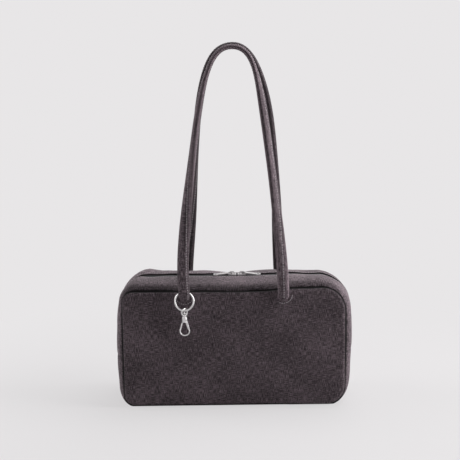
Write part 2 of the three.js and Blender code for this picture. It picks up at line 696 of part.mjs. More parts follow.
function addHandles() {
  const outer = oval(HANDLE_WIDTH / 2, HANDLE_THICKNESS / 2);
  const bore = oval(HANDLE_WIDTH / 2 - HANDLE_WALL, HANDLE_THICKNESS / 2 - HANDLE_WALL);
  const inside = HANDLE_WALL + CORE_CLEARANCE;
  const core = oval(HANDLE_WIDTH / 2 - inside, HANDLE_THICKNESS / 2 - inside);
  for (const [name, side] of [['front', -1], ['rear', 1]]) {
    const cover = pipe(handleRings(side, outer), handleRings(side, bore));
    addMesh(bag, `${name}_handle_cover`, cover, cloth(STRAP_COLOUR));
    addMesh(bag, `${name}_handle_core`, loft(handleRings(side, core), core), cloth(CORD_COLOUR));
    for (const [hand, sign] of [['left', -1], ['right', 1]]) {
      const x = FOOT_SHIFT + (sign * FOOT_SPACING) / 2;
      const plain = footGeometry(side, x);
      const holdsRing = name === 'front' && hand === 'left';
      const foot = holdsRing ? cut(plain, ringRoom()) : plain;
      addMesh(bag, `${name}_${hand}_handle_foot`, foot, cloth(STRAP_COLOUR));
      const base = FOOT_BASE - PATCH_MARGIN;
      const size = HANDLE_WIDTH + 2 * PATCH_MARGIN;
      const height = FOOT_OVERLAP + PATCH_MARGIN - DENIM - 3 * GAP;
      const patch = sheet(roundedRectangle(size, height, PATCH_MARGIN, base), PATCH_DEPTH, PATCH, side);
      addMesh(bag, `${name}_${hand}_patch`, patch.translate(x, 0, 0), cloth(TAPE_COLOUR));
    }
  }
}

// Key ring and swivel clasp, placed from the ring's top wire downwards

function cylinderUp(radius, fromZ, toZ) {
  const geometry = new THREE.CylinderGeometry(radius, radius, toZ - fromZ, TURNED_SIDES);
  return geometry.rotateX(Math.PI / 2).translate(0, 0, (fromZ + toZ) / 2);
}

// A bar along Y through a point of the clasp's own flat plane.
function cylinderAcross(radius, length, at) {
  return new THREE.CylinderGeometry(radius, radius, length, TURNED_SIDES).translate(at.x, 0, at.y);
}

function lathed(profile) {
  const points = profile.map(([radius, z]) => new THREE.Vector2(radius, z));
  return new THREE.LatheGeometry(points, TURNED_SIDES).rotateX(Math.PI / 2);
}

function swivelEye() {
  const loop = new THREE.TorusGeometry(EYE_RADIUS, EYE_WIRE / 2, WIRE_SIDES, 20);
  loop.rotateX(Math.PI / 2).rotateZ(EYE_TURN).translate(0, 0, EYE_CENTRE);
  const boss = cylinderUp(BOSS_RADIUS, BOSS_BASE, BOSS_BASE + BOSS_HEIGHT);
  const bore = cylinderUp(POST_RADIUS + GAP, BOSS_BASE - 1, EYE_CENTRE);
  return cut(join(loop, boss), bore);
}

function swivelPost() {
  const headMiddle = EYE_FLOOR + EYE_WIRE / 2 + GAP + POST_HEAD_RADIUS;
  const profile = [[0, COLLAR_TOP - POST_DEPTH], [POST_RADIUS, COLLAR_TOP - POST_DEPTH]];
  const neck = Math.asin(POST_RADIUS / POST_HEAD_RADIUS);
  for (let step = 0; step <= ARC_STEPS; step++) {
    const angle = neck + ((Math.PI - neck) * step) / ARC_STEPS;
    const radius = step === ARC_STEPS ? 0 : POST_HEAD_RADIUS * Math.sin(angle);
    profile.push([radius, headMiddle - POST_HEAD_RADIUS * Math.cos(angle)]);
  }
  return lathed(profile);
}

function alongCurve(curve, radius, steps, sides) {
  const circle = new THREE.Shape().absarc(0, 0, radius, 0, 2 * Math.PI, false);
  const section = new THREE.Shape(circle.getPoints(sides).slice(0, sides));
  return new THREE.ExtrudeGeometry(section, { steps, extrudePath: curve, bevelEnabled: false });
}

function hookBody() {
  const collar = lathed([
    [0, COLLAR_BASE],
    [COLLAR_RADIUS, COLLAR_BASE],
    [COLLAR_RADIUS, COLLAR_BASE + 0.6 * COLLAR_HEIGHT],
    [COLLAR_TOP_RADIUS, COLLAR_TOP],
    [0, COLLAR_TOP],
  ]);
  const half = HOOK_HALF_WIDTH;
  const at = (x, drop) => new THREE.Vector3(x * half, 0, COLLAR_BASE - drop * HOOK_LENGTH);
  // A teardrop, in shares of the half width and of the length below the collar.
  const wire = new THREE.CatmullRomCurve3([
    at(-0.3, -0.06),
    at(-0.5, 0.13),
    at(-0.76, 0.43),
    at(-0.99, 0.7),
    at(-0.73, 0.91),
    at(0, 1),
    at(0.73, 0.91),
    at(0.99, 0.72),
    new THREE.Vector3(NOSE.x, 0, NOSE.y),
  ]);
  const bow = alongCurve(wire, HOOK_WIRE / 2, 22, WIRE_SIDES);
  const bore = cylinderUp(POST_RADIUS + GAP, COLLAR_TOP - POST_DEPTH - GAP, COLLAR_TOP + 1);
  const slotHalf = GATE_THICKNESS / 2 + GAP + 2 * SPRING_WIRE;
  const slotTop = GATE_PIVOT.y + 3 * PIN_RADIUS + GAP;
  const slotHeight = slotTop - COLLAR_BASE + 1;
  const slot = new THREE.BoxGeometry(2 * COLLAR_RADIUS, 2 * slotHalf, slotHeight);
  slot.translate(COLLAR_RADIUS - GAP, 0, slotTop - slotHeight / 2);
  const pinHole = cylinderAcross(PIN_RADIUS + GAP, 4 * COLLAR_RADIUS, GATE_PIVOT);
  return cut(join(collar, bow), bore, slot, pinHole);
}

function hookGate() {
  const tip = new THREE.Vector2(NOSE.x, NOSE.y + GAP);
  const along = tip.clone().sub(GATE_PIVOT);
  const angle = Math.atan2(along.y, along.x);
  const shape = new THREE.Shape();
  const knuckle = PIN_RADIUS + GAP + GATE_KNUCKLE;
  const length = along.length();
  shape.absarc(0, 0, knuckle, Math.PI / 2, (3 * Math.PI) / 2, false);
  shape.lineTo(length, -GATE_HALF_WIDTH);
  shape.lineTo(length, GATE_HALF_WIDTH);
  shape.holes.push(new THREE.Path().absarc(0, 0, PIN_RADIUS + GAP, 0, 2 * Math.PI, true));
  const bar = extrudeUp(shape, -GATE_THICKNESS / 2, GATE_THICKNESS / 2);
  return bar.rotateZ(angle).rotateX(Math.PI / 2).translate(GATE_PIVOT.x, 0, GATE_PIVOT.y);
}

class SpringCurve extends THREE.Curve {
  getPoint(share, target = new THREE.Vector3()) {
    const radius = PIN_RADIUS + GAP + SPRING_WIRE / 2;
    const angle = 2 * Math.PI * SPRING_TURNS * share;
    const start = GATE_THICKNESS / 2 + GAP / 2 + SPRING_WIRE / 2;
    const y = start + 1.2 * SPRING_WIRE * SPRING_TURNS * share;
    return target.set(
      GATE_PIVOT.x + radius * Math.cos(angle),
      y,
      GATE_PIVOT.y + radius * Math.sin(angle),
    );
  }
}

function addClasp() {
  const ringFrame = new THREE.Group();
  ringFrame.position.copy(RING_PIVOT);
  ringFrame.rotation.x = -RING_TILT;
  bag.add(ringFrame);
  const ring = new THREE.TorusGeometry(RING_RADIUS, RING_WIRE / 2, WIRE_SIDES, 28);
  ring.rotateX(Math.PI / 2).translate(0, 0, -RING_RADIUS);
  addMesh(ringFrame, 'key_ring', ring, metal());

  const claspFrame = new THREE.Group();
  const hang = 2 * RING_RADIUS;
  claspFrame.position.set(
    RING_PIVOT.x,
    RING_PIVOT.y - hang * Math.sin(RING_TILT),
    RING_PIVOT.z - hang * Math.cos(RING_TILT),
  );
  bag.add(claspFrame);
  addMesh(claspFrame, 'swivel_eye', swivelEye(), metal());
  addMesh(claspFrame, 'swivel_post', swivelPost(), metal());
  addMesh(claspFrame, 'hook_body', hookBody(), metal());
  addMesh(claspFrame, 'hook_gate', hookGate(), metal());
  const pinLength = 2 * Math.sqrt(COLLAR_RADIUS ** 2 - GATE_PIVOT.x ** 2) - GAP;
  addMesh(claspFrame, 'gate_pin', cylinderAcross(PIN_RADIUS, pinLength, GATE_PIVOT), metal());
  addMesh(claspFrame, 'gate_spring', alongCurve(new SpringCurve(), SPRING_WIRE / 2, 14, 5), metal());
}

addPanels();
addGusset();
addZipGusset();
addZip();
addSliders();
addHandles();
addClasp();

export default bag;
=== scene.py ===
"""The looks of a small denim bowler bag, built round its solid frame. Lengths are in millimetres."""

import math

import bmesh
import bpy
import numpy as np
from mathutils import Matrix, Vector


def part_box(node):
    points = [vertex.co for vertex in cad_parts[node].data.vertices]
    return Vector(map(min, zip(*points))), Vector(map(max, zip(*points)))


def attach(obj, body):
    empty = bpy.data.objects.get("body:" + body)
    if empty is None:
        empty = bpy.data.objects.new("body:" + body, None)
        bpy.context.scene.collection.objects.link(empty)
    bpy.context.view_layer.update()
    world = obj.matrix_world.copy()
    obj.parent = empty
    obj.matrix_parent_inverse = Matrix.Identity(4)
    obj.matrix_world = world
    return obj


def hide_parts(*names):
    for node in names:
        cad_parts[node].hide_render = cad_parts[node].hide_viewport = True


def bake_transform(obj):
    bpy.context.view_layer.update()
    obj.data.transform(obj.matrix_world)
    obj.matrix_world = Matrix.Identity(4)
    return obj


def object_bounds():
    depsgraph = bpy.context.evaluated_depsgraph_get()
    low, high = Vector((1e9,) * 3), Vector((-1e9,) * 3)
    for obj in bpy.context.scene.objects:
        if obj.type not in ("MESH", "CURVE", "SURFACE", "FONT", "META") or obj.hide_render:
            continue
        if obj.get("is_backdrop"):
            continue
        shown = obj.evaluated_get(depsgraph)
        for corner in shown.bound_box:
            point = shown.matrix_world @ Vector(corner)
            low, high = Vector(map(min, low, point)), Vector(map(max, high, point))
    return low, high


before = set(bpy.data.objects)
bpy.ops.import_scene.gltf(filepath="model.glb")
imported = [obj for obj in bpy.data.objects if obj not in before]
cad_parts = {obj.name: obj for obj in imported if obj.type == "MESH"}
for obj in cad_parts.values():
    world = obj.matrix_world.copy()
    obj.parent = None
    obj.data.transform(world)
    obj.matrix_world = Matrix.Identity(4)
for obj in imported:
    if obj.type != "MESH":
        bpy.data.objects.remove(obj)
cad_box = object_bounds()

MM = 0.001


def box_of(node):
    low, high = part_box(node)
    return np.array(low) / MM, np.array(high) / MM


# Below, a step is an amount and the two places between which it comes or goes,
# a hump is an amount, its middle and its width, and a ripple is a depth and a length

# Body, read from the frame
panel_low, panel_high = box_of("front_panel")
flap_low, flap_high = box_of("front_zip_flap")
SEAM_MARGIN = 2.1  # a panel of the frame ends this far inside its seam
FACE = -panel_low[1]
HALF_WIDTH = panel_high[0] + SEAM_MARGIN
SEAM_LOW = panel_low[2] - SEAM_MARGIN
SEAM_TOP = panel_high[2] + SEAM_MARGIN
MIDDLE_HEIGHT = (SEAM_LOW + SEAM_TOP) / 2
HALF_HEIGHT = (SEAM_TOP - SEAM_LOW) / 2
BULGE = flap_high[2] - SEAM_TOP
SIDE_SEAM_HEIGHT = box_of("bottom_gusset")[1][2]
SIDES = (("front", -1), ("rear", 1))

# Seams. Corner radii run clockwise from the upper right, seen from the front
FRONT_CORNERS = (29.0, 23.0, 13.0, 13.0)
REAR_CORNERS = (29.0, 26.0, 22.0, 29.0)
LEAST_RADIUS = 0.2
TAKEN_IN = 3.4  # the front panel's right edge is sewn this far inside
TOP_DROOP = 1.6  # the front panel's top seam droops, and dips between the handles
TOP_DIP = (1.0, 0.0, 45.0)  # a hump
TOP_CLIMBS = ((2.6, 35.0, 75.0), (0.8, 85.0, 125.0))  # it climbs at the right, in two steps
BASE_DROOP = 1.1  # its lower seam droops too, further by a step at the right
BASE_END_DROOP = (1.2, 40.0, 100.0)
SEAM_Y = 45.2  # the gusset is sewn to the panels this far from the middle of the bag
GROOVE = 5.0  # how deep the gusset folds in at its seams
GROOVE_WIDTH = 1.8
BASE_GROOVE_LOSS = 0.8  # the share of that depth which is missing under the base
SIDE_SEAM_DIP = 1.3
SIDE_SEAM_WIDTH = 1.4
SEAM_GAP = 0.1  # the gusset's strips end this far from a side seam

# Panels
PANEL_INSET = 0.2
PANEL_ROLL = 3.0  # width of the roll at a panel's edge, and how far back its crest lies
PANEL_ROLL_DEPTH = 2.4
PANEL_BACK = 0.8  # how far its cloth runs in behind the roll
PANEL_CENTRE = 0.4  # a panel's innermost ring lies this far from its middle line
FACE_RIPPLE = (0.3, 62.0)
ROLL_RIPPLE = (0.16, 15.0)
ROLL_RIPPLE_FADE = 14.0
PANEL_SHADE = 0.26  # painted shade: the panels are darker than the gusset
ROLL_WEAR = (0.1, 2.6, 1.6)  # a hump: the roll is faintly rubbed along a line beside its crest
CREST_SHADE = (0.8, 0.1, 0.9)  # a step: painted shade darkens the crest

# Cloth
DENIM = 1.3
BASE_DROP = 2.0  # the base reaches the floor this far from its seams
SWELL_SQUARENESS = 4  # exponents of the gusset's section between its seams
SWELL_EASE = 0.6
LEFT_END = (-2.5, 1.4, 3.2, -6.5)  # how the ends' swell changes from the base up to the top
RIGHT_END = (-3.0, -1.5, 6.8, -5.5)
LEFT_SLACK = 0.05  # the share of its swell that the gusset loses at an upper corner
RIGHT_SLACK = -0.08
LEFT_LIFT = (2.8, 90.0, 115.0)  # a step: the top stands higher at the left, behind the zip
LEFT_LIFT_BACK = (2.0, 18.0)
REAR_SAG = 3.8  # the top sinks between the handles, growing with the distance from the zip
FRONT_SAG = 1.5
SAG_LENGTH = 24.0
SAG_FROM_ZIP = (7.0, 24.0)
RIGHT_SAG = (1.2, 4.8)  # it sinks to the right of them, less at the front than at the rear
RIGHT_SAG_BACK = (3.0, 22.0)
RIGHT_SAG_RUN = 40.0
DENT = 1.2  # it is dented beside the handles' feet, unevenly
DENT_RIPPLE = (0.8, 19.0)
DENT_ACROSS = 0.3  # how fast the dents change across the bag, as a share of how fast they do along it
DENT_WIDTH = 17.0
DENT_FROM_ZIP = (14.0, 40.0)
HEM_DIP = (0.3, 5.0, 16.0)  # a step: it dips towards the zip
WRINKLE = (0.6, 46.0)
PUCKER = (0.35, 11.0)  # the ripple at the seams
PUCKER_WIDTH = 6.0
SEAM_SHADE = (0.97, 1.7, 2.9)  # a step: painted shade darkens the fold at a seam, over less width on top
TOP_SHADE_LOSS = 0.6
# painted shade in the fold at the side seams
SIDE_SEAM_SHADE = 0.7
SIDE_SEAM_SHADE_WIDTH = 1.2
SLOPE_SHADE = (0.42, 4.5, 4.0)  # a hump: painted shade darkens the top where it slopes down to the panels
FRONT_SHADE = (0.18, 6.0, 18.0)  # a step: painted shade darkens it in front of the zip, as far as the right handle
FRONT_SHADE_END = (-20.0, 40.0)

# Zip
ZIP_MIDDLE = (flap_low[0] + flap_high[0]) / 2
FLAP_HALF_LENGTH = (flap_high[0] - flap_low[0]) / 2
ZIP_SLOT = 0.4 - flap_high[1]  # the folded edges lie a little further apart than the flaps
ZIP_END_SLOT = 2.6  # they come closer together between these shares of a flap's half length
SLOT_EASE = (1.2, 1.5)
HEM = 1.9  # a folded edge's depth, and its section: distances from the fold and depths
HEM_OFFSETS = np.array([6.0, 3.2, 1.6, 0.8, 0.25, 0.0, 0.25, 0.8, 3.0, 7.0])
HEM_DEPTHS = np.array([0.0, 0.0, 0.0, 0.08, 0.4, 0.95, 1.5, 1.85, HEM, HEM])
TAPE_DEPTH = 2.15
TAPE_THICKNESS = 0.45
TAPE_HALF = 11.5
TAPE_INNER = 0.9
COIL_PITCH = 1.5
COIL_WIDTH = 2.5
COIL_HEIGHT = 1.5
COIL_WIRE = 0.62
COIL_DEPTH = 2.5
COIL_INNER = -0.25  # the teeth reach a little over the middle
COIL_END = 0.3
ROW_SPREAD = (1.1, 4.6, 9.0)  # a step: the rows part round the sliders
ZIP_STITCH_FROM_EDGE = 3.2
SUNK = 0.3  # how deep the zip's stitches lie in the cloth
FRONT_FOLD = 0.7  # wear on top of the front folded edge, and painted shade on top of the rear one and in the slit between them
REAR_FOLD_SHADE = -0.75
SLIT_SHADE = -0.97
FOLD_TOP = 0.3  # how deep the top of a folded edge reaches, and how wide the wear and painted shade on it are
FOLD_WIDTH = 1.6
PULL_PLAY = math.radians(20)  # the pulls lie askew in their bails, towards the front
PULL_DROOP = math.radians(2)
PULL_ROLL = math.radians(10)
BAIL_LEG = 1.7  # from a pull's pivot to the leg of the bail that it leans on
PULL_BAR = 0.6  # from a pull's end to its pivot

# Lining and pocket
LINING = 0.7
LINING_FACE = 44.0
LINING_EDGE = 43.6
LINING_INSET = 3.2
LINING_RIPPLE = (0.35, 55.0)
UNDER_BASE = 3.3  # from the denim of the base to its lining, which runs on past the side seams
LINING_OVERRUN = 3.0
UNDER_TAPE = 0.25
TAPE_OVERLAP = 1.5
POCKET_HEM = 9.0
POCKET_HEM_STEP = 0.5
POCKET_EDGE = 0.8
POCKET_THICKNESS = 0.8 * LINING
POCKET_GAP = 0.3  # between the pocket and the lining behind it
POCKET_SLACK = 2.2
POCKET_MOUTH = 26.0  # how far below its mouth the pocket hangs slack
POCKET_RIPPLE = (0.2, 30.0)

# Handles, read from the frame
foot_low, foot_high = box_of("front_right_handle_foot")
left_foot = box_of("front_left_handle_foot")
arch_high = box_of("front_handle_cover")[1]
LEFT_FOOT = (left_foot[0][0] + left_foot[1][0]) / 2
RIGHT_FOOT = (foot_low[0] + foot_high[0]) / 2
FOOT_LOW = foot_low[2]
FOOT_TOP = foot_high[2]
HANDLE_WIDTH = foot_high[0] - foot_low[0]
HANDLE_THICKNESS = foot_high[1] - foot_low[1]
FOOT_MIDDLE_Y = -(foot_low[1] + foot_high[1]) / 2
ARCH_TOP = arch_high[2] - HANDLE_THICKNESS / 2
ARCH_GAP = 0.6  # between the two handles, at the top
ARCH_Y = (HANDLE_WIDTH + ARCH_GAP) / 2
FOOT_END_THICKNESS = 4.6
FOOT_ROUNDING = 2.2  # the end of a foot is rounded over this length
LEAST_PLUMPNESS = 0.2  # the share of its thickness that a foot has at its very end
FOOT_GAP = 0.2
OVAL_SQUARENESS = 2.5  # exponents of a handle's oval section, and of how its points are spaced
OVAL_EASE = 0.425
OVAL_SPACING = 0.8
ARCH_THINNING = 0.3  # the share of its thickness that a handle loses between these shares of a leg
THINNING_SHARES = (0.55, 0.8)
ARCH_STAGGER = ARCH_THINNING * HANDLE_THICKNESS / 2  # at the top the rear one is higher, the front one lower
LEG_STRAIGHT = 0.32  # a leg sets out upwards over this share of its rise
LEG_LEAN = 0.93
SEAM_VALLEY = 0.16  # the seam along a handle is sunk by this share of its thickness
VALLEY_WIDTH = 0.14
STITCH_SINK = 0.14
FULL_WIDTH = 0.7  # the stitches start where a foot has this share of its width
INNER_STITCH_RISE = 4.0

# Each handle's legs run through these places across the bag, from a foot to the middle of the arch
FRONT_LEGS = ((LEFT_FOOT, -68.4, -37.5, -45.8, -0.6), (RIGHT_FOOT, 56.7, 48.7, 29.5, 40.3, -0.6))
REAR_LEGS = ((LEFT_FOOT, -58.7, -43.7, -47.9, -41.5, 0.8), (RIGHT_FOOT, 53.7, 59.0, 0.8))
# The shares of a leg between which it turns wide side up, and how much of a quarter turn is done by then
FRONT_TWISTS = ((0.05, 0.55, 1.0), (-0.05, 0.42, 0.75))
REAR_TWISTS = ((0.02, 0.5, 1.0), (0.02, 0.5, 1.0))
LAST_TURN = (0.6, 0.85)  # the shares between which the rest of the turn is done
FRONT_STITCH = (0.74, -0.15)  # where the stitches run across the handle, at its left and right foot
REAR_STITCH = (0.2, -0.3)
REAR_HANDLE_SHADE = 0.6  # painted shade: the rear handle is darker, and it is less rubbed than the front one
REAR_RUBBING = 0.2
RIM = (0.75, 0.9)  # where across a handle its rim begins
RIM_LINES = (1.1, 0.55, 0.16)  # humps: the rims are rubbed along two lines, with a dark one between them
RIM_MIDDLE = (0.4, 0.0, 0.25)
RUBBED_FROM = 215.0  # the left legs are rubbed only above this height, fully above the next one
RUBBED_FULL = 300.0
RIM_SHADE = 0.35  # and below it painted shade darkens their rims
HANDLE_CREASE_SHADE = 0.5  # painted shade darkens a crease beside the seam, on the side of the handle's middle
CREASE_OFFSET = 0.3
CREASE_WIDTH = 0.12

# Threads
STITCH = 2.3
STITCH_GAP = 0.9
THREAD = 0.48  # a thread's radius
STITCH_RISE = 0.75  # a stitch's ends dip into the cloth and its middle rises, in thread radii
STITCH_DIP = 0.25
FOOT_STITCH_REACH = 4.0  # from a foot's edge to the stitches round it, which end below the seam
FOOT_STITCH_END = 4.0
FOOT_STITCH = 2.4
FOOT_STITCH_GAP = 0.4
LEFT_FOOT_SINK = (-0.45, -0.45)  # how far they stand out of the panel, left and right of a foot
RIGHT_FOOT_SINK = (-0.9, 0.3)

# Key ring and clasp, read from the frame
ring_low, ring_high = box_of("key_ring")
RING_WIRE = 1.25
RING_LIFT = 3.3  # the ring's wire passes behind the front left handle and lifts it
RING_LIFT_WIDTH = 5.5
RING_TOP = ring_high[2] - RING_WIRE
PLATING = 0.13
HOOK_EXTRA = 0.22  # the hook is a little stouter than its frame
EDGE_ROUNDING = 0.2
CAST_GRAIN = 0.2

# Floor, light and camera. Places are in metres
BACKGROUND = (0.806, 0.791, 0.799, 1.0)
FLOOR_GREY = (0.62, 0.607, 0.614, 1.0)
SHADOW_FADE = {"From Min": 0.2, "From Max": 0.55, "To Min": 0.72, "To Max": 1.0}
AMBIENT = (0.9, 0.9, 0.92, 1.0)
AMBIENT_STRENGTH = 0.085
PICTURE_WIDTH = 460
SENSOR_WIDTH = 36.0
FOCAL_PIXELS = 971.8
CAMERA_PLACE = (-0.00505, -1.2, 0.4159)
CAMERA_PITCH = math.radians(9.57)
CAMERA_ROLL = math.radians(-0.725)


# Unevenness of sewn cloth

WAVES = 4


def ripple(a, b, size, seed):
    """A smooth and repeatable unevenness over two distances: waves in several directions."""
    depth, length = size
    total = 0.0
    for wave in range(WAVES):
        angle = 2.4 * wave + seed
        pace = 2 * math.pi / length * (0.7 + 0.35 * wave)
        total = total + np.sin(pace * (a * math.cos(angle) + b * math.sin(angle)) + 1.7 * seed + 2.1 * wave)
    return depth * total / WAVES


def smoothstep(value, low, high):
    share = np.clip((value - low) / (high - low), 0.0, 1.0)
    return share * share * (3 - 2 * share)


def hump(value, middle, width):
    return np.exp(-(((value - middle) / width) ** 2))


def stepped(value, step):
    amount, first, last = step
    return amount * smoothstep(value, first, last)


def fading(value, step):
    return step[0] - stepped(value, step)


def humped(value, shape):
    amount, middle, width = shape
    return amount * hump(value, middle, width)


def curve(controls, shares):
    """A smooth line of values that starts at the first control and ends at the last."""
    levels = [np.full_like(shares, control) for control in controls]
    while len(levels) > 1:
        levels = [first + (second - first) * shares for first, second in zip(levels, levels[1:])]
    return levels[0]


# Materials


def new_material(name):
    material = bpy.data.materials.new(name)
    material.use_nodes = True
    tree = material.node_tree
    return material, tree, tree.nodes["Principled BSDF"]


def set_inputs(tree, node, inputs):
    """Each input of a node gets a value, or a link to another node's output."""
    for name, value in inputs.items():
        if isinstance(value, bpy.types.NodeSocket):
            tree.links.new(value, node.inputs[name])
        else:
            node.inputs[name].default_value = value


def add_node(tree, kind, inputs, **settings):
    node = tree.nodes.new(kind)
    for name, value in settings.items():
        setattr(node, name, value)
    set_inputs(tree, node, inputs)
    return node


def maths(tree, operation, first, second):
    return add_node(tree, "ShaderNodeMath", {0: first, 1: second}, operation=operation).outputs[0]


def weighted(tree, *terms):
    """The sum of several values, each times its own weight."""
    total = 0.0
    for value, weight in terms:
        total = maths(tree, "ADD", maths(tree, "MULTIPLY", value, weight), total)
    return total


def mix_colour(tree, factor, first, second):
    inputs = {0: factor, 6: first, 7: second}
    return add_node(tree, "ShaderNodeMix", inputs, data_type="RGBA").outputs[2]


def noise(tree, vector, scale, detail, stretch=None):
    if stretch is not None:
        vector = add_node(tree, "ShaderNodeMapping", {"Vector": vector, "Scale": stretch}).outputs[0]
    inputs = {"Vector": vector, "Scale": scale, "Detail": detail}
    return add_node(tree, "ShaderNodeTexNoise", inputs).outputs["Fac"]


WAVE_LENGTH = 0.314  # the pitch of stripes at a scale of 1
STRIPE_UNEVENNESS = {"Distortion": 0.5, "Detail": 1.0, "Detail Scale": 2.0}


def stripes(tree, vector, pitch, direction):
    inputs = {"Vector": vector, "Scale": WAVE_LENGTH / pitch, **STRIPE_UNEVENNESS}
    return add_node(tree, "ShaderNodeTexWave", inputs, bands_direction=direction).outputs["Fac"]


def attribute(tree, name, output):
    return add_node(tree, "ShaderNodeAttribute", {}, attribute_name=name).outputs[output]


def object_coordinates(tree):
    return add_node(tree, "ShaderNodeTexCoord", {}).outputs["Object"]


def ramp(tree, factor, *stops):
    node = add_node(tree, "ShaderNodeValToRGB", {"Fac": factor})
    elements = node.color_ramp.elements
    while len(elements) < len(stops):
        elements.new(0.5)
    for element, (place, colour) in zip(elements, stops):
        element.position = place
        element.color = colour
    return node.outputs["Color"]


def bump(tree, height, strength, distance):
    inputs = {"Height": height, "Strength": strength, "Distance": distance}
    return add_node(tree, "ShaderNodeBump", inputs).outputs[0]


def grey(value):
    return (value, value, value, 1.0)


def tinted(value, tint):
    return (value * tint[0], value * tint[1], value * tint[2], 1.0)


# Scales of the denim's pattern, for a millimetre of cloth
TWILL_PITCH = 0.7
YARN_SCALE = 1.7
YARN_STRETCH = 0.1
PATCH_SCALE = 0.06
GRAIN_SCALE = 1.6
CLOUD_SCALE = 0.02
FLECK_SCALE = 0.9


def denim_weave(tree, cloth, grain):
    """Yarns that run now along and now across the cloth, with grain, diagonal ribs and a slow wash."""
    warp = noise(tree, cloth, YARN_SCALE, 0.0, (1.0, YARN_STRETCH, 1.0))
    weft = noise(tree, cloth, YARN_SCALE, 0.0, (YARN_STRETCH, 1.0, 1.0))
    patches = ramp(tree, noise(tree, cloth, PATCH_SCALE, 1.0), (0.4, grey(0.3)), (0.6, grey(0.7)))
    streaks = mix_colour(tree, patches, warp, weft)
    ribs = stripes(tree, cloth, TWILL_PITCH, "DIAGONAL")
    cloud = noise(tree, cloth, CLOUD_SCALE, 1.0)
    return weighted(tree, (streaks, 0.49), (grain, 0.34), (ribs, 0.05), (cloud, 0.12))


def denim_material(name, dark, pale, tint):
    """Washed twill: an uneven weave with pale flecks, wear along folds and seams, and painted shade where the
    values fall below zero.
    """
    material, tree, shader = new_material(name)
    cloth = attribute(tree, "cloth", "Vector")
    grain = noise(tree, cloth, GRAIN_SCALE, 1.0)
    weave = denim_weave(tree, cloth, grain)
    ground = tinted(dark + 0.3 * (pale - dark), tint)
    tone = ramp(tree, weave, (0.39, tinted(dark, tint)), (0.51, ground), (0.61, tinted(pale, tint)))
    spots = noise(tree, cloth, FLECK_SCALE, 1.0, (1.0, 0.6, 1.0))
    fleck = ramp(tree, spots, (0.62, grey(0.0)), (0.72, grey(0.6)))
    tone = mix_colour(tree, fleck, tone, tinted(0.8 * pale, tint))
    wear_and_shade = attribute(tree, "wear_and_shade", "Fac")
    worn = maths(tree, "MULTIPLY", maths(tree, "MAXIMUM", wear_and_shade, 0.0), maths(tree, "ADD", grain, 0.2))
    tone = mix_colour(tree, worn, tone, tinted(0.85 * pale, tint))
    # values below zero are painted shade, mixing the cloth towards a dark tone
    painted_shade = maths(tree, "MAXIMUM", maths(tree, "MULTIPLY", wear_and_shade, -1.0), 0.0)
    tone = mix_colour(tree, painted_shade, tone, tinted(0.2 * dark, tint))
    set_inputs(tree, shader, {
        "Base Color": tone, "Roughness": weighted(tree, (grain, 0.15), (1.0, 0.8)),
        "Specular IOR Level": 0.15, "Sheen Weight": 0.08, "Sheen Roughness": 0.45,
        "Normal": bump(tree, weave, 0.5, 0.0004)})
    return material


def plain_weave_material(name, dark, pale, pitch):
    """A plain weave of crossing yarns, for lining, tape and thread."""
    material, tree, shader = new_material(name)
    cloth = attribute(tree, "cloth", "Vector")
    over = stripes(tree, cloth, pitch, "X")
    under = stripes(tree, cloth, pitch, "Y")
    uneven = noise(tree, cloth, 0.25, 4.0)
    weave = weighted(tree, (over, 0.35), (under, 0.35), (uneven, 0.5))
    set_inputs(tree, shader, {
        "Base Color": ramp(tree, weave, (0.25, dark), (0.85, pale)),
        "Roughness": weighted(tree, (uneven, 0.2), (1.0, 0.75)),
        "Specular IOR Level": 0.2, "Sheen Weight": 0.1, "Normal": bump(tree, weave, 0.35, 0.0002)})
    return material


def metal_material(name, shine):
    """Silver plating with fine scratches and faint clouding."""
    material, tree, shader = new_material(name)
    place = object_coordinates(tree)
    cloud = noise(tree, place, 160.0, 3.0)
    scratch = noise(tree, place, 900.0, 2.0, (1.0, 1.0, 0.12))
    tone = ramp(tree, cloud, (0.3, tinted(0.7 * shine, SILVER_TINT)), (0.75, tinted(shine, SILVER_TINT)))
    set_inputs(tree, shader, {
        "Base Color": tone, "Metallic": 1.0, "Normal": bump(tree, scratch, 0.06, 0.0001),
        "Roughness": weighted(tree, (cloud, 0.12), (scratch, 0.14), (1.0, 0.2))})
    return material


def grainy_material(name, dark, pale, scale, roughness):
    """Board and nylon: small grain over a soft unevenness."""
    material, tree, shader = new_material(name)
    place = object_coordinates(tree)
    grain = noise(tree, place, scale, 4.0)
    soft = noise(tree, place, scale * 0.06, 2.0)
    tone = weighted(tree, (grain, 0.6), (soft, 0.4))
    set_inputs(tree, shader, {
        "Base Color": ramp(tree, tone, (0.3, dark), (0.7, pale)),
        "Roughness": weighted(tree, (grain, 0.2), (1.0, roughness - 0.1)),
        "Normal": bump(tree, grain, 0.3, 0.0003)})
    return material


